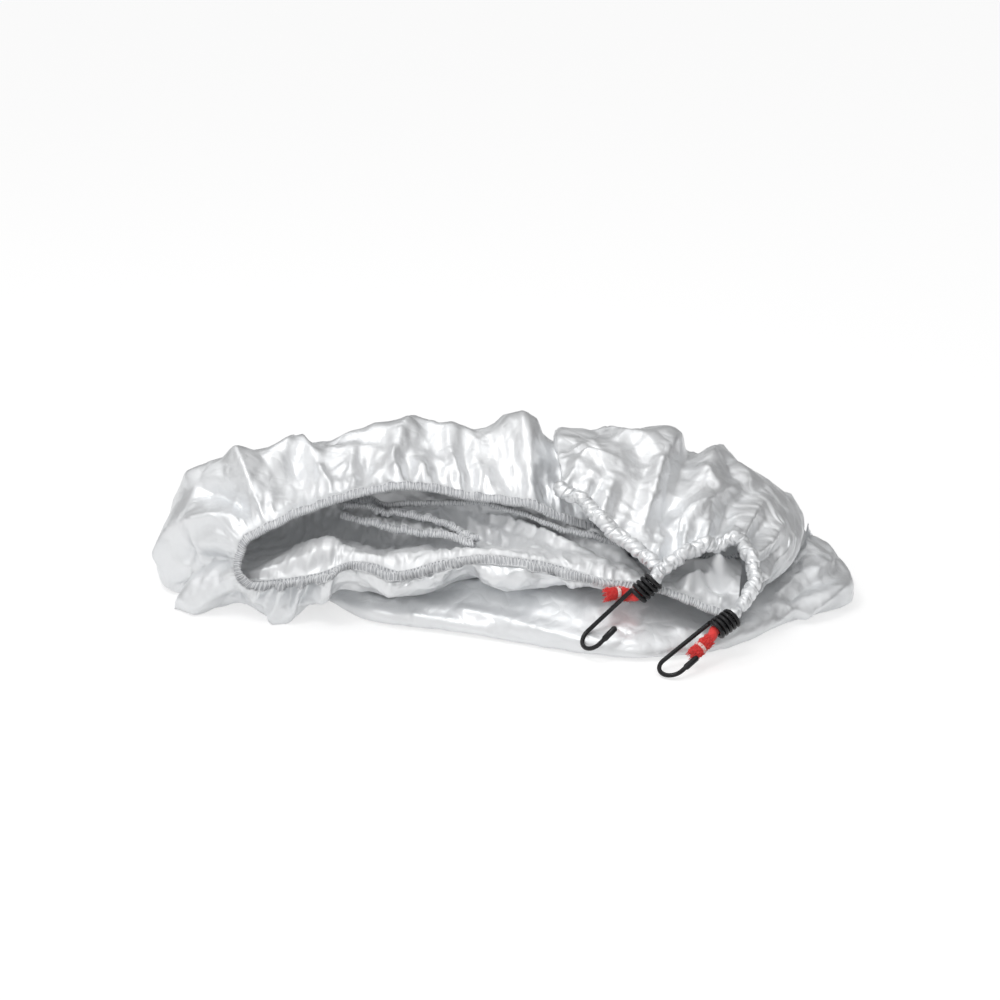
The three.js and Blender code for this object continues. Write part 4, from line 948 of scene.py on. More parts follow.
# %% Folds of the folded-under panel
BASE_FOLDS = [
    # the turned front edge, a short seam, long creases, the rolled edge and folds at the right
    ((0.015, 0.50), (0.13, 0.515), 6, 2.0, 1.0), ((0.13, 0.515), (0.30, 0.505), 5, 1.6, 1.0),
    ((0.125, 0.46), (0.128, 0.540), 1.8, -1.2, 1.0), ((0.20, 0.56), (0.44, 0.50), 9, 3.0, 1.0),
    ((0.24, 0.50), (0.56, 0.47), 8, -2.0, 1.1), ((0.50, 0.58), (0.66, 0.52), 12, 2.5, 1.0),
    ((0.715, 0.46), (0.86, 0.62), 9, 6.0, 1.2), ((0.70, 0.56), (0.80, 0.66), 12, -5, 1.1),
    ((0.83, 0.44), (0.90, 0.58), 12, -5, 1.1), ((0.90, 0.42), (0.95, 0.60), 10, 5, 1.0),
    ((0.76, 0.66), (0.90, 0.80), 12, 5, 1.0),
]
print("folded-under panel:", len(BASE_FOLDS), "folds")

# %% Folded-under panel
FREE_END = 0.66        # station from which the right end is free of the heap

def base_shape(sheet):
    free = 1 / (1 + np.exp(-(sheet["along"][None, :] - FREE_END) / 0.03))
    return fold_rise(sheet, BASE_FOLDS) + faceted(sheet, 33, fine=0.6) * (0.03 + 0.30 * free)

def base_spare(x, y, turn, sheet):
    """Hardly any spare cloth under the heap, a little at the free end."""
    return (0.0, 0.01)[turn] + 0.05 * (sheet["along"][None, :] > FREE_END) + 0 * y

base_cloth, _, _ = cloth_piece(
    "base_cloth", BASE, 1, base_shape, base_spare, edge_hold((0.5, 0.5), rim=0.0), seed=31)

# %% [markdown]
# ## Inner layer and loose flap
# Inside the mouth the cloth hangs looser, in a soft petal at the closed end, pleats in
# the neck and a star between the hooks. It has a gathered hem above and another below,
# out of sight behind the lip. The flap is a strip with a hem on both long edges, pushed
# together so hard that the hems puff. It is too narrow for folds of its own, so panes and
# buckles alone shape it.

# %% Folds of the inner layer
INNER_FOLDS = [
    # soft petal at the closed end, pleats in the neck, and the star between the hooks
    ((0.14, 0.34), (0.24, 0.20), 13, 5, 1.0), ((0.26, 0.38), (0.33, 0.18), 12, -5, 1.1),
    ((0.10, 0.52), (0.20, 0.40), 12, -4, 1.1), ((0.20, 0.56), (0.30, 0.44), 11, 5, 1.0),
    ((0.34, 0.72), (0.50, 0.38), 10, 7, 1.0), ((0.43, 0.76), (0.56, 0.40), 8, -8, 1.0),
    ((0.50, 0.80), (0.68, 0.44), 7, 9, 1.0), ((0.58, 0.76), (0.72, 0.36), 7, -8, 1.0),
    ((0.64, 0.80), (0.78, 0.42), 7, 9, 1.0), ((0.71, 0.74), (0.82, 0.30), 7, -7, 1.0),
    ((0.865, 0.25), (0.930, 0.58), 9, 8, 1.0), ((0.870, 0.60), (0.955, 0.58), 8, 8, 1.0),
    ((0.90, 0.86), (0.935, 0.56), 8, 7, 1.0), ((0.905, 0.40), (0.97, 0.36), 8, -6, 1.0),
    ((0.935, 0.58), (0.985, 0.80), 8, 7, 1.0), ((0.93, 0.10), (0.955, 0.40), 8, 5, 1.0),
]
print("inner layer:", len(INNER_FOLDS), "folds")

# %% Inner layer
def inner_shape(sheet):
    _, y = cut_places(sheet)
    clear_of_lip = np.clip((y - 3) / 14, 0, 1)
    return fold_rise(sheet, INNER_FOLDS) + faceted(sheet, 43, 0.55, fine=1.2) * clear_of_lip

def inner_spare(x, y, turn, sheet):
    """Most spare cloth at the far hem, which is the last row of this sheet."""
    return 0.10 + 0.5 * np.exp(-(sheet["wide"] - y) / 15) + 0 * x

def inner_hold(x, y, turn, sheet):
    return np.where(y > sheet["wide"] - 3, 1.0, 0.5) + 0 * x

inner_cloth, inner_rims, _ = cloth_piece(
    "inner_cloth", INNER, 1, inner_shape, inner_spare, inner_hold,
    seed=41, near=(HEM, hem_swell(14)), far=(HEM, hem_swell(13)), pitch=5.0)
inner_overlock = overlock("inner_overlock", *inner_rims[0], seed=15)
toe_overlock = overlock("toe_overlock", *inner_rims[1], seed=16)

# %% Loose flap
FLAP_THREAD = 0.34     # mm; radius

def flap_shape(sheet):
    return faceted(sheet, 53, 0.4, fine=1.5)

def flap_spare(x, y, turn, sheet):
    return 0.6 + 0 * x + 0 * y

def flap_hold(x, y, turn, sheet):
    return np.where((y < 2) | (y > sheet["wide"] - 2), 1.0, 0.5) + 0 * x

flap_cloth, flap_rims, _ = cloth_piece(
    "flap_cloth", FLAP, 1, flap_shape, flap_spare, flap_hold,
    seed=51, near=(HEM, ruched_swell(17)), far=(HEM, ruched_swell(19)), pitch=4.0)
flap_upper_overlock = overlock("flap_upper_overlock", *flap_rims[0], radius=FLAP_THREAD, seed=25)
flap_lower_overlock = overlock("flap_lower_overlock", *flap_rims[1], radius=FLAP_THREAD, seed=27)

# %% [markdown]
# ## Hooks
# Each hook is one length of coated steel wire: coiled tightly round the cord, straight,
# then bent open, with its point dipped in plastic. A curve with a bevel would do, but a
# tube built on the path gives the dipped point its own thickness.

# %% Rods
def unit(v):
    """A direction of length one."""
    v = np.asarray(v, float)
    return v / np.linalg.norm(v)

def round_rod(name, path, radii, sides=14):
    """A rod of changing radius along one path, closed at both ends by a point."""
    path, radii = np.asarray(path, float), np.asarray(radii, float)
    ahead = np.gradient(path, axis=0)
    ahead /= np.linalg.norm(ahead, axis=1, keepdims=True)
    up = np.zeros_like(path)
    up[0] = unit(np.cross(ahead[0], [0.3, 0.2, 1.0]))
    for k in range(1, len(path)):
        up[k] = unit(up[k - 1] - ahead[k] * np.dot(up[k - 1], ahead[k]))
    beside = np.cross(ahead, up)
    angle = np.arange(sides) / sides * 2 * np.pi
    ring = path[:, None] + radii[:, None, None] * (
        np.cos(angle)[None, :, None] * up[:, None] + np.sin(angle)[None, :, None] * beside[:, None])
    k = np.arange(len(path) * sides).reshape(len(path), sides)
    faces = np.stack([k[:-1], np.roll(k[:-1], -1, 1), np.roll(k[1:], -1, 1), k[1:]], -1)
    faces = faces.reshape(-1, 4).tolist()
    before = path[:1] - ahead[:1] * radii[0] * 0.4
    beyond = path[-1:] + ahead[-1:] * radii[-1] * 0.4
    points = np.vstack([ring.reshape(-1, 3), before, beyond])
    first, last = len(points) - 2, len(points) - 1
    faces += [(first, int(b), int(a)) for a, b in zip(k[0], np.roll(k[0], -1))]
    faces += [(last, int(a), int(b)) for a, b in zip(k[-1], np.roll(k[-1], -1))]
    return make_mesh(name, (points - CENTRE) * MM, faces)

print("a direction of length one:", [round(float(v), 2) for v in unit([3, 4, 0])])

# %% Hooks
WIRE, COIL_RADIUS, COIL_PITCH, COIL_TURNS = 2.8, 5.5, 3.15, 4.5
SHANK, BEND_RADIUS = 36.5, 8.2
TIP, DIP = 13, 3.9     # length of the wire's end past the bend, and the dipped end's diameter
TURN_STEPS, BEND_STEPS = 28, 20
BEND_TURN = math.pi * 1.06
SHANK_PLACES = (0.08, 0.2, 0.4, 0.65, 0.92, 1.0)
# distance past the bend, radius there
DIPPED_END = [(2.0, WIRE / 2), (2.5, DIP / 2 - 0.25), (3.0, DIP / 2), (7.5, DIP / 2),
              (TIP - 1.4, DIP / 2), (TIP - 0.5, DIP / 2 - 0.45), (TIP, DIP / 2 - 1.1)]
# place and axis of the coil, the way the bend leans, the angle at which the shank leaves the
# coil, and the line of the cord end past it
HOOKS = {
    "left": dict(
        place=[89.8, -88.8, 47.4], axis=[-0.74, -0.19, -0.63], lean=[-0.80, 0.48, -0.36], leave=-1.5,
        end=[[75, -88.3, 36.6], [70.5, -86.2, 37.2], [65.5, -87.8, 38], [61, -88.8, 37.6]]),
    "right": dict(
        place=[137.4, -95.5, 25.5], axis=[-0.79, -0.50, -0.395], lean=[-0.87, 0.48, -0.10], leave=-0.8,
        end=[[124.6, -105.5, 18.2], [121, -109.5, 15.6], [116.5, -113.5, 12.6], [111.5, -117.5, 10]]),
}

def hook_path(h):
    """The wire's middle line and its radius at each point: coil, shank, bend and dipped end."""
    a = unit(h["axis"])
    b = unit(np.array(h["lean"]) - a * np.dot(h["lean"], a))
    c = np.cross(a, b)
    def at(x, y, z):
        return np.array(h["place"]) + a * x + b * y + c * z
    path = []
    steps = int(COIL_TURNS * TURN_STEPS)
    for k in range(steps + 1):
        turn = h["leave"] + (k - steps) / TURN_STEPS * 2 * math.pi
        y, z = COIL_RADIUS * math.cos(turn), COIL_RADIUS * math.sin(turn)
        path.append(at(k / TURN_STEPS * COIL_PITCH, y, z))
    coil_end = COIL_TURNS * COIL_PITCH
    y, z = COIL_RADIUS * math.cos(h["leave"]), COIL_RADIUS * math.sin(h["leave"])
    for f in SHANK_PLACES:
        path.append(at(coil_end + f * SHANK, y + (COIL_RADIUS - y) * f, z * (1 - f)))
    for k in range(1, BEND_STEPS + 1):
        g = k / BEND_STEPS * BEND_TURN
        x = coil_end + SHANK + BEND_RADIUS * math.sin(g)
        path.append(at(x, COIL_RADIUS - BEND_RADIUS * (1 - math.cos(g)), 0))
    back, end = unit(path[-1] - path[-2]), path[-1]
    radii = [WIRE / 2] * len(path) + [radius for _, radius in DIPPED_END]
    return path + [end + back * distance for distance, _ in DIPPED_END], radii

hooks = {}
for which, h in HOOKS.items():
    path, radii = hook_path(h)
    hooks[which] = round_rod("hook_wire_" + which, path, radii)
    print("hook", which, "uses", round(run_of(np.array(path))[-1]), "mm of wire")

# %% [markdown]
# ## Frayed cord ends
# The elastic cord comes out of each coil with its red braid unpicked into a tuft, is
# whipped with pale thread, and ends in a second tuft. Hair particles would do for a
# render, but a part has to be mesh: a lumpy core and some hundred short curling fibres.

# %% Cord ends
CORD = 7.2             # mm; diameter of the braid
# share of the length, share of the radius: narrow where the whipping binds it
SWELL = [[0, 0.8], [0.03, 1], [0.15, 1], [0.42, 1], [0.5, 1.0], [0.56, 1.05], [0.63, 0.95],
         [0.69, 0.7], [0.75, 0.7], [0.81, 0.95], [0.9, 1.05], [0.96, 0.9], [1, 0.5]]
TUFTS = ((0.47, 0.66, 340), (0.76, 0.99, 380))      # from, to along the length, number of fibres
WHIPPED = (0.69, 0.07)                              # start and share of the length
WHIPPING, WHIPPING_TURNS = 0.55, 3                  # radius of the thread in mm, turns

def cord_line(h):
    """Middle line of a cord end, from inside its coil to its tip."""
    a = unit(h["axis"])
    inside = [np.array(h["place"]) + a * x for x in (11, 12, 13, 15)]
    return smooth_line(inside + h["end"], 30)

def frayed_core(which, line, length, seed):
    """The lumpy braid under the fibres."""
    share = np.linspace(0, 1, 46)
    size = np.interp(share, *zip(*SWELL)) * CORD / 2 * 0.86
    core = round_rod("frayed_core_" + which, walk(line, share * length), size, sides=16)
    noise.seed_set(seed)
    for v in core.data.vertices:
        v.co += Vector(noise.noise_vector(v.co * 900)) * 0.35 * MM
    return core

def frayed_tuft(which, line, length, seed):
    """Short curling fibres that stand off the braid on both sides of the whipping."""
    rng = np.random.RandomState(seed)
    strands, ups = [], []
    for low, high, count in TUFTS:
        u = rng.uniform(low, high, count)
        at = walk(line, u * length)
        ahead = walk(line, np.minimum(u + 0.02, 1) * length) - walk(line, (u - 0.02) * length)
        ahead /= np.linalg.norm(ahead, axis=1, keepdims=True)
        spin = rng.normal(size=(count, 3))
        out = spin - ahead * (spin * ahead).sum(1, keepdims=True)
        out /= np.linalg.norm(out, axis=1, keepdims=True)
        radius = np.interp(u, *zip(*SWELL))[:, None] * CORD / 2 * 0.8
        reach = rng.uniform(2.2, 4.6, (count, 1))
        sweep = rng.choice([-1.0, 1.0], (count, 1)) * rng.uniform(0.3, 1.1, (count, 1))
        curl = rng.normal(size=(count, 3)) * 0.7
        t = np.linspace(0, 1, 7)[None, :, None]
        way = (out[:, None] * (0.55 * reach[:, None] * t) + ahead[:, None] * (sweep * reach)[:, None] * t
               + curl[:, None] * np.sin(t * 4.5) * 0.6 - out[:, None] * 1.1 * t**2)
        strands.append(at[:, None] + out[:, None] * radius[:, None] + way)
        ups.append(np.broadcast_to(out[:, None], strands[-1].shape))
    points, faces = tubes(np.vstack(strands), np.vstack(ups), 0.26, sides=4, taper=0.5)
    points[:, 2] = np.maximum(points[:, 2], 0.3)
    print("cord end", which, round(length, 1), "mm,", len(faces) // 24, "fibres")
    return make_mesh("frayed_tuft_" + which, (points - CENTRE) * MM, faces)

def whipping(which, line, length):
    """Pale thread wound round the narrow place between the tufts."""
    t = np.linspace(0, 1, 90)
    start, share = WHIPPED
    where = walk(line, (start + share * t) * length)
    ahead = unit(where[-1] - where[0])
    side = unit(np.cross(ahead, [0, 0, 1.0]))
    up = np.cross(side, ahead)
    turn = t[:, None] * 2 * math.pi * WHIPPING_TURNS
    wound = where + (side * np.cos(turn) + up * np.sin(turn)) * (CORD / 2 * 0.72 + 1.0)
    return round_rod("whipping_thread_" + which, wound, np.full(len(t), WHIPPING), sides=8)

ends = {}
for which, seed in (("left", 61), ("right", 67)):
    line = cord_line(HOOKS[which])
    length = run_of(line)[-1]
    core = frayed_core(which, line, length, seed)
    tuft = frayed_tuft(which, line, length, seed)
    ends[which] = core, tuft, whipping(which, line, length)

# %% [markdown]
# ## Sleeve ends
# Where the sleeve meets a hook its cloth is pulled into the coil with the cord. A short
# ruched tube from the sheet's corner into the coil does it. Stretching the sheet itself
# so far would tear its grid into slivers.

# %% Sleeve ends, pulled into the coils
SLEEVE_END = 4.3       # mm; radius
sleeve_ends = []
for which, seed, station in (("left", 75, 6), ("right", 79, 13)):
    h = HOOKS[which]
    start, axis = np.array(REAR[station][0], float), unit(h["axis"])
    last = np.array(h["place"]) + axis * 5
    line = smooth_line([start - axis * 3, start + axis * 1.5, np.array(h["place"]), last], 20) - CENTRE
    off_cloth = np.broadcast_to(unit(h["lean"]) * -1.0, line.shape)
    tube = gathered_tube("sleeve_end_" + which, line, off_cloth, SLEEVE_END, seed, step=0.45, sides=22)
    sleeve_ends.append(tube)

# %% [markdown]
# ## Effects that several finishes share
# Cloth, thread, wire and braid each need small variation at their own scale. Three node
# groups give it: `weave` is the over-and-under of threads, `creases` is the crinkle that
# coated cloth keeps from its packing, and `drift of tone` shifts a colour slowly from
# place to place. Each puts out a height, a mask or a colour, and the shader stays in the
# material, so that each can be tuned and exported on its own. The same nodes could be
# repeated in every material, but then a change would have to be made in each.

# %% Node group helpers
def new_group(name, inputs, outputs):
    """A shader node group with its input and output nodes."""
    group = bpy.data.node_groups.new(name, "ShaderNodeTree")
    for label, kind, value in inputs:
        socket = group.interface.new_socket(name=label, in_out="INPUT", socket_type=kind)
        socket.default_value = value
    for label, kind in outputs:
        group.interface.new_socket(name=label, in_out="OUTPUT", socket_type=kind)
    start, end = group.nodes.new("NodeGroupInput"), group.nodes.new("NodeGroupOutput")
    return group, start, end

def node(tree, kind, values=None, **settings):
    """A node with its input values and its settings."""
    made = tree.nodes.new(kind)
    for key, value in settings.items():
        setattr(made, key, value)
    for key, value in (values or {}).items():
        made.inputs[key].default_value = value
    return made

def wire_up(tree, *pairs):
    """Links each output to its input."""
    for a, b in pairs:
        tree.links.new(a, b)

FLOAT, COLOUR = "NodeSocketFloat", "NodeSocketColor"
print("group sockets hold", FLOAT, "or", COLOUR)

# %% [markdown]
# ### Weave
# Plain cloth goes over and under, thread by thread. Two sine waves across each other,
# multiplied, rise and sink in that order. They run along the cut's own distances, so the
# threads follow the cloth round every fold; a wave in space would slide over it.

# %% Weave
FULL_TURN = 6.2832     # a full turn in radians

def weave_group():
    group, start, end = new_group("weave", [("Threads", FLOAT, 900.0)], [("Height", FLOAT), ("Gaps", FLOAT)])
    cut = node(group, "ShaderNodeUVMap", uv_map="cut")
    size = node(group, "ShaderNodeVectorMath", operation="SCALE")
    split = node(group, "ShaderNodeSeparateXYZ")
    wire_up(group, (cut.outputs[0], size.inputs[0]), (start.outputs["Threads"], size.inputs["Scale"]),
            (size.outputs[0], split.inputs[0]))
    waves = []
    for axis in ("X", "Y"):
        turn = node(group, "ShaderNodeMath", {1: FULL_TURN}, operation="MULTIPLY")
        wave = node(group, "ShaderNodeMath", operation="SINE")
        wire_up(group, (split.outputs[axis], turn.inputs[0]), (turn.outputs[0], wave.inputs[0]))
        waves.append(wave)
    over = node(group, "ShaderNodeMath", operation="MULTIPLY")
    gaps = node(group, "ShaderNodeMath", operation="ABSOLUTE")
    wire_up(group, (waves[0].outputs[0], over.inputs[0]), (waves[1].outputs[0], over.inputs[1]),
            (over.outputs[0], end.inputs["Height"]), (over.outputs[0], gaps.inputs[0]),
            (gaps.outputs[0], end.inputs["Gaps"]))
    return group

WEAVE = weave_group()
print("weave has", len(WEAVE.nodes), "nodes")

# %% [markdown]
# ### Creases
# Packed cloth keeps a net of fine creases. Smooth noise has none, but its distance from
# its own middle value has: it folds there, in thin crossing lines. A cell texture gives
# lines too, and they close into rings like dried mud, which cloth never does.

# %% Creases
def creases_group():
    group, start, end = new_group("creases", [("Scale", FLOAT, 45.0), ("Sharpness", FLOAT, 0.12)],
                                  [("Height", FLOAT), ("Mask", FLOAT)])
    place = node(group, "ShaderNodeTexCoord")
    ridges = []
    for factor, weight in ((1.0, 1.0), (2.7, 0.45)):
        size = node(group, "ShaderNodeMath", {1: factor}, operation="MULTIPLY")
        cloud = node(group, "ShaderNodeTexNoise", {"Detail": 1.0, "Roughness": 0.4, "Distortion": 0.4})
        middle = node(group, "ShaderNodeMath", {1: 0.5}, operation="SUBTRACT")
        folded = node(group, "ShaderNodeMath", operation="ABSOLUTE")
        part = node(group, "ShaderNodeMath", {1: 2 * weight}, operation="MULTIPLY")
        wire_up(group, (place.outputs["Object"], cloud.inputs["Vector"]),
                (start.outputs["Scale"], size.inputs[0]), (size.outputs[0], cloud.inputs["Scale"]),
                (cloud.outputs["Fac"], middle.inputs[0]),
                (middle.outputs[0], folded.inputs[0]), (folded.outputs[0], part.inputs[0]))
        ridges.append((folded, part))
    total = node(group, "ShaderNodeMath", operation="ADD")
    level = node(group, "ShaderNodeMapRange", {"From Min": 0.0, "To Min": 1.0, "To Max": 0.0})
    wire_up(group, (ridges[0][1].outputs[0], total.inputs[0]), (ridges[1][1].outputs[0], total.inputs[1]),
            (ridges[0][0].outputs[0], level.inputs["Value"]),
            (start.outputs["Sharpness"], level.inputs["From Max"]),
            (total.outputs[0], end.inputs["Height"]), (level.outputs[0], end.inputs["Mask"]))
    return group

CREASES = creases_group()
print("creases has", len(CREASES.nodes), "nodes")

# %% [markdown]
# ### Drift of tone
# No dyed or coated thing has one colour all over. A slow noise mixes two near colours,
# and it puts out its mask too, so that a finish can let its gloss drift along.

# %% Drift of tone
def tone_group():
    group, start, end = new_group(
        "drift of tone", [("Base", COLOUR, (0.8, 0.8, 0.8, 1)), ("Other", COLOUR, (0.7, 0.7, 0.7, 1)),
                          ("Scale", FLOAT, 20.0)], [("Color", COLOUR), ("Mask", FLOAT)])
    place = node(group, "ShaderNodeTexCoord")
    cloud = node(group, "ShaderNodeTexNoise", {"Detail": 4.0, "Roughness": 0.55})
    level = node(group, "ShaderNodeMapRange", {"From Min": 0.35, "From Max": 0.68})
    mix = node(group, "ShaderNodeMix", data_type="RGBA")
    wire_up(group, (place.outputs["Object"], cloud.inputs["Vector"]),
            (start.outputs["Scale"], cloud.inputs["Scale"]), (cloud.outputs["Fac"], level.inputs["Value"]),
            (level.outputs[0], mix.inputs["Factor"]), (start.outputs["Base"], mix.inputs["A"]),
            (start.outputs["Other"], mix.inputs["B"]), (mix.outputs["Result"], end.inputs["Color"]),
            (level.outputs[0], end.inputs["Mask"]))
    return group

TONE = tone_group()
print("drift of tone has", len(TONE.nodes), "nodes")

# %% [markdown]
# ## Finishes
# Silver cover cloth is polyester with aluminium pigment in its coating: neither a mirror
# nor a matt paint. A little more than half metallic, with a middling roughness, gives its
# broad bright sheen. Fully metallic it would look like foil. The bump of fine creases
# carries small sharp lights on top, and the inside of the bag is duller, because the
# coating is on the outside.

# %% Material helpers
def place_group(tree, group, **values):
    """A shared effect placed in a material, with its own values."""
    made = tree.nodes.new("ShaderNodeGroup")
    made.node_tree = group
    for key, value in values.items():
        made.inputs[key].default_value = value
    return made

def new_material(name):
    """A material, its tree and its shader."""
    made = bpy.data.materials.new(name)
    made.use_nodes = True
    return made, made.node_tree, made.node_tree.nodes["Principled BSDF"]

print("effects to place:", [group.name for group in (WEAVE, CREASES, TONE)])

# %% Cloth finish
def coated_cloth(name, base, other, metallic, rough, crinkle, crease_scale=34.0):
    """Woven cloth with a pigmented coating."""
    made, tree, shader = new_material(name)
    tone = place_group(tree, TONE, Base=(*base, 1), Other=(*other, 1), Scale=16.0)
    crease = place_group(tree, CREASES, Scale=crease_scale, Sharpness=0.05)
    weave = place_group(tree, WEAVE, Threads=1300.0)
    worn = node(tree, "ShaderNodeMapRange", {"From Max": 1.0, "To Min": rough, "To Max": rough + 0.16})
    small = node(tree, "ShaderNodeBump", {"Strength": 0.25, "Distance": 0.00008})
    large = node(tree, "ShaderNodeBump", {"Strength": crinkle, "Distance": 0.0022})
    wire_up(tree, (tone.outputs["Color"], shader.inputs["Base Color"]),
            (crease.outputs["Mask"], worn.inputs["Value"]), (worn.outputs[0], shader.inputs["Roughness"]),
            (weave.outputs["Height"], small.inputs["Height"]),
            (crease.outputs["Height"], large.inputs["Height"]),
            (small.outputs["Normal"], large.inputs["Normal"]),
            (large.outputs["Normal"], shader.inputs["Normal"]))
    shader.inputs["Metallic"].default_value = metallic
    shader.inputs["IOR"].default_value = 1.5
    return made

silver_cloth = coated_cloth(
    "silver_cloth", (0.88, 0.89, 0.90), (0.83, 0.845, 0.86), metallic=0.60, rough=0.37, crinkle=0.55)
inner_finish = coated_cloth(
    "inner_finish", (0.86, 0.87, 0.88), (0.80, 0.81, 0.82), metallic=0.35, rough=0.40, crinkle=0.5)
print("cloth finishes:", silver_cloth.name, "and", inner_finish.name)

# %% [markdown]
# ### Thread, braid and wire
# Thread and braid are matt and fuzzy: much roughness, a little sheen and a fine bump. The
# hooks are black enamelled wire, smooth, with gloss that drifts from place to place where
# hands and cloth have rubbed it. Both could be one plain colour, but in a close view that
# reads as plastic.

# %% Thread and braid finishes
def spun_thread(name, base, other, rough, sheen):
    """Thread or braid, or the hem band's darker grey of painted shade: a drifting colour with a fuzzy bump.
    """
    made, tree, shader = new_material(name)
    tone = place_group(tree, TONE, Base=(*base, 1), Other=(*other, 1), Scale=260.0)
    crease = place_group(tree, CREASES, Scale=1400.0, Sharpness=0.3)
    fuzz = node(tree, "ShaderNodeBump", {"Strength": 0.35, "Distance": 0.0002})
    wire_up(tree, (tone.outputs["Color"], shader.inputs["Base Color"]),
            (crease.outputs["Height"], fuzz.inputs["Height"]),
            (fuzz.outputs["Normal"], shader.inputs["Normal"]))
    shader.inputs["Roughness"].default_value = rough
    shader.inputs["Sheen Weight"].default_value = sheen
    return made

# The hem band is painted a darker grey than the cloth: painted shade under and between the overlock stitches.
hem_painted_shade = spun_thread("hem_painted_shade", (0.60, 0.61, 0.63), (0.44, 0.45, 0.47), rough=0.7, sheen=0.1)
hem_thread = spun_thread("hem_thread", (0.86, 0.87, 0.88), (0.68, 0.69, 0.71), rough=0.6, sheen=0.2)
red_braid = spun_thread("red_braid", (0.95, 0.06, 0.05), (0.82, 0.03, 0.03), rough=0.6, sheen=0.3)
whipping_pale = spun_thread("whipping_pale", (0.86, 0.76, 0.72), (0.78, 0.62, 0.58), rough=0.7, sheen=0.3)
print("thread finishes:", [made.name for made in (hem_painted_shade, hem_thread, red_braid, whipping_pale)])

# %% Wire finish
def coated_wire(name):
    """Black enamelled wire, rubbed here and there."""
    made, tree, shader = new_material(name)
    tone = place_group(tree, TONE, Base=(0.006, 0.006, 0.007, 1), Other=(0.014, 0.014, 0.016, 1), Scale=150.0)
    crease = place_group(tree, CREASES, Scale=900.0, Sharpness=0.1)
    skin = node(tree, "ShaderNodeBump", {"Strength": 0.12, "Distance": 0.0002})
    worn = node(tree, "ShaderNodeMapRange", {"To Min": 0.20, "To Max": 0.34})
    wire_up(tree, (tone.outputs["Color"], shader.inputs["Base Color"]),
            (tone.outputs["Mask"], worn.inputs["Value"]), (worn.outputs[0], shader.inputs["Roughness"]),
            (crease.outputs["Height"], skin.inputs["Height"]),
            (skin.outputs["Normal"], shader.inputs["Normal"]))
    shader.inputs["Coat Weight"].default_value = 0.15
    shader.inputs["Specular IOR Level"].default_value = 0.25
    shader.inputs["Coat Roughness"].default_value = 0.2
    return made

black_wire = coated_wire("black_wire")
print("wire finish:", black_wire.name)

# %% [markdown]
# ## Which piece stands for which solid
# Each dressed piece rides on the one body, takes the place of its solid, and wears its
# finish. Each sheet also prints its area.

# %% Dress and ride
def dress(thing, finish, slot, *solids):
    """Gives a piece its finish, and its hem bands the darker grey of painted shade; solids are what it stands
    for.
    """
    if len(thing.data.materials) == 2:
        thing.data.materials[0], thing.data.materials[1] = finish, hem_painted_shade
    else:
        thing.data.materials.append(finish)
    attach(thing, "root")
    if solids:
        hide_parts(*solids)

dress(front_cloth, silver_cloth, "silver_cloth", "front_panel")
dress(rear_cloth, silver_cloth, "silver_cloth", "rear_panel")
dress(base_cloth, silver_cloth, "silver_cloth", "base_panel")
for tube in (sleeve_cloth, *sleeve_ends):
    dress(tube, silver_cloth, "silver_cloth")
dress(inner_cloth, inner_finish, "inner_cloth", "inner_layer")
dress(flap_cloth, inner_finish, "inner_cloth", "inner_flap")
for stitched in (front_overlock, inner_overlock, toe_overlock, flap_upper_overlock, flap_lower_overlock):
    dress(stitched, hem_thread, "silver_cloth")
for which in ("left", "right"):
    dress(hooks[which], black_wire, "black_wire", "hook_" + which)
    core, tuft, whip = ends[which]
    dress(core, red_braid, "red_cord", "cord_end_" + which)
    dress(tuft, red_braid, "red_cord")
    dress(whip, whipping_pale, "pale_thread", "whipping_" + which)
meshes = [thing.name for thing in bpy.data.objects if thing.type == "MESH"]
print("dressed pieces:", len([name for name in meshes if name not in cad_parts]))

for sheet in (front_cloth, rear_cloth, base_cloth, inner_cloth, flap_cloth):
    print(sheet.name, "area", round(sum(face.area for face in sheet.data.polygons), 4), "square metres")

# %% [markdown]
# ## Floor
# The heap lies on a wide pale floor. Its grey takes the shadow, and a glow on top makes
# it white to the eye. The glow is there for camera, glossy and transmission rays only, so
# it throws no light up into the folds, and the cloth's greys stay. A floor of plain white
# paint would need so much light that the cloth would burn out.

# %% Floor
FLOOR_REACH = 12       # metres each way
FLOOR_GREY, FLOOR_GLOW = 0.50, 0.60
corners = [(-FLOOR_REACH, -FLOOR_REACH, 0), (FLOOR_REACH, -FLOOR_REACH, 0),
           (FLOOR_REACH, FLOOR_REACH, 0), (-FLOOR_REACH, FLOOR_REACH, 0)]
floor = make_mesh("floor", corners, [(0, 1, 2, 3)])
floor_paint, tree, shader = new_material("floor_paint")
shader.inputs["Base Color"].default_value = (FLOOR_GREY, FLOOR_GREY, FLOOR_GREY, 1)
shader.inputs["Roughness"].default_value = 0.9
shader.inputs["Specular IOR Level"].default_value = 0.1
path = node(tree, "ShaderNodeLightPath")
seen = node(tree, "ShaderNodeMath", operation="MAXIMUM")
through = node(tree, "ShaderNodeMath", operation="MAXIMUM")
glow_level = node(tree, "ShaderNodeMath", {1: FLOOR_GLOW}, operation="MULTIPLY")
glow = node(tree, "ShaderNodeEmission")
both = node(tree, "ShaderNodeAddShader")
out = tree.nodes["Material Output"]
wire_up(tree, (path.outputs["Is Camera Ray"], seen.inputs[0]),
        (path.outputs["Is Glossy Ray"], seen.inputs[1]),
        (seen.outputs[0], through.inputs[0]), (path.outputs["Is Transmission Ray"], through.inputs[1]),
        (through.outputs[0], glow_level.inputs[0]), (glow_level.outputs[0], glow.inputs["Strength"]),
        (shader.outputs[0], both.inputs[0]), (glow.outputs[0], both.inputs[1]),
        (both.outputs[0], out.inputs["Surface"]))
floor.data.materials.append(floor_paint)
floor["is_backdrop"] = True
print("floor of", 2 * FLOOR_REACH, "metres, glow", FLOOR_GLOW)

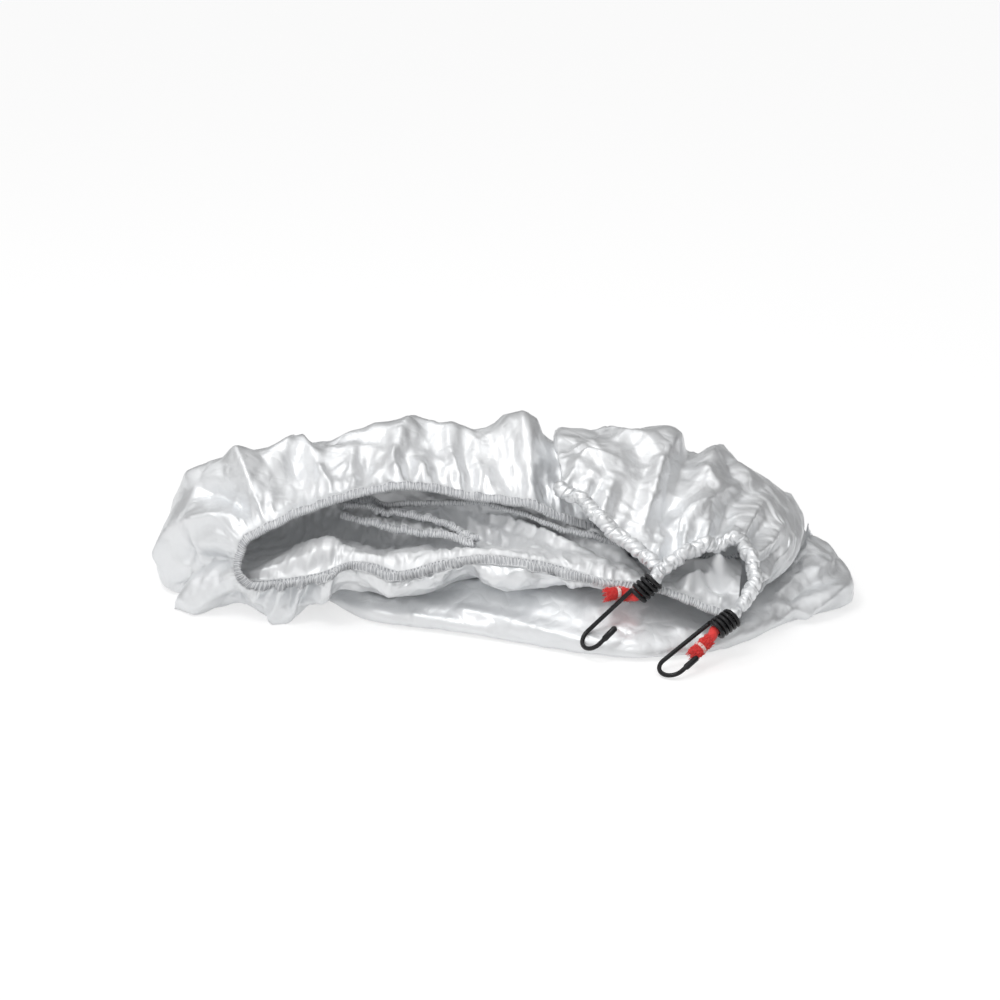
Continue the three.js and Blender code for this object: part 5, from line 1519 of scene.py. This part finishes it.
# %% [markdown]
# ## Light
# Silver cloth is only as lively as what it reflects. The surround is brightest high up
# towards the front left and dim on the far side, and two soft lamps, the stronger one from
# the same side, draw the shadows. An even white surround would be simpler, but metal in it
# loses its shape.

# %% World
BRIGHT_SIDE = Vector((-0.25, -0.40, 0.88)).normalized()
DIM, BRIGHT = 0.12, 1.0
world = bpy.data.worlds.new("surround")
bpy.context.scene.world = world
world.use_nodes = True
tree = world.node_tree
background = tree.nodes["Background"]
background.inputs["Color"].default_value = (1, 1, 1, 1)
way = node(tree, "ShaderNodeTexCoord")
toward = node(tree, "ShaderNodeVectorMath", {1: BRIGHT_SIDE}, operation="DOT_PRODUCT")
sky = node(tree, "ShaderNodeMapRange", interpolation_type="SMOOTHSTEP",
           values={"From Min": -0.05, "From Max": 0.95, "To Min": DIM, "To Max": BRIGHT})
wire_up(tree, (way.outputs["Generated"], toward.inputs[0]), (toward.outputs["Value"], sky.inputs["Value"]),
        (sky.outputs[0], background.inputs["Strength"]))
print("the surround goes from", DIM, "to", BRIGHT)

# %% Lamps
def soft_light(name, place, at, size, watts):
    """A square or oblong lamp that looks at a place."""
    lamp = bpy.data.lights.new(name, "AREA")
    lamp.shape, lamp.size, lamp.size_y, lamp.energy = "RECTANGLE", size[0], size[1], watts
    thing = bpy.data.objects.new(name, lamp)
    bpy.context.scene.collection.objects.link(thing)
    thing.location = place
    aim(thing, at)
    print(name, "lamp:", watts, "watts from", round(Vector(place).length, 2), "m")

HEAP_MIDDLE = (0, 0, 0.05)
soft_light("overhead", (-0.35, 0.30, 1.2), HEAP_MIDDLE, (0.5, 0.4), 0.8)
soft_light("key", (-0.42, -0.58, 1.25), HEAP_MIDDLE, (0.36, 0.36), 3.7)

# %% [markdown]
# ## Finish
# The dressed cover's box is set against the solids' box, and how far the cloth stands
# proud of them is printed. The dressed cover may stand only a little proud of its
# solids.

# %% Sizes and finish
dressed_box = [list(corner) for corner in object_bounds()]
low, high = (np.array(dressed_box) - np.array(solid_box)) / MM
proud = [round(float(v), 1) for v in np.maximum(-low, high)]
print("the cloth stands proud of its solids by", proud, "mm")
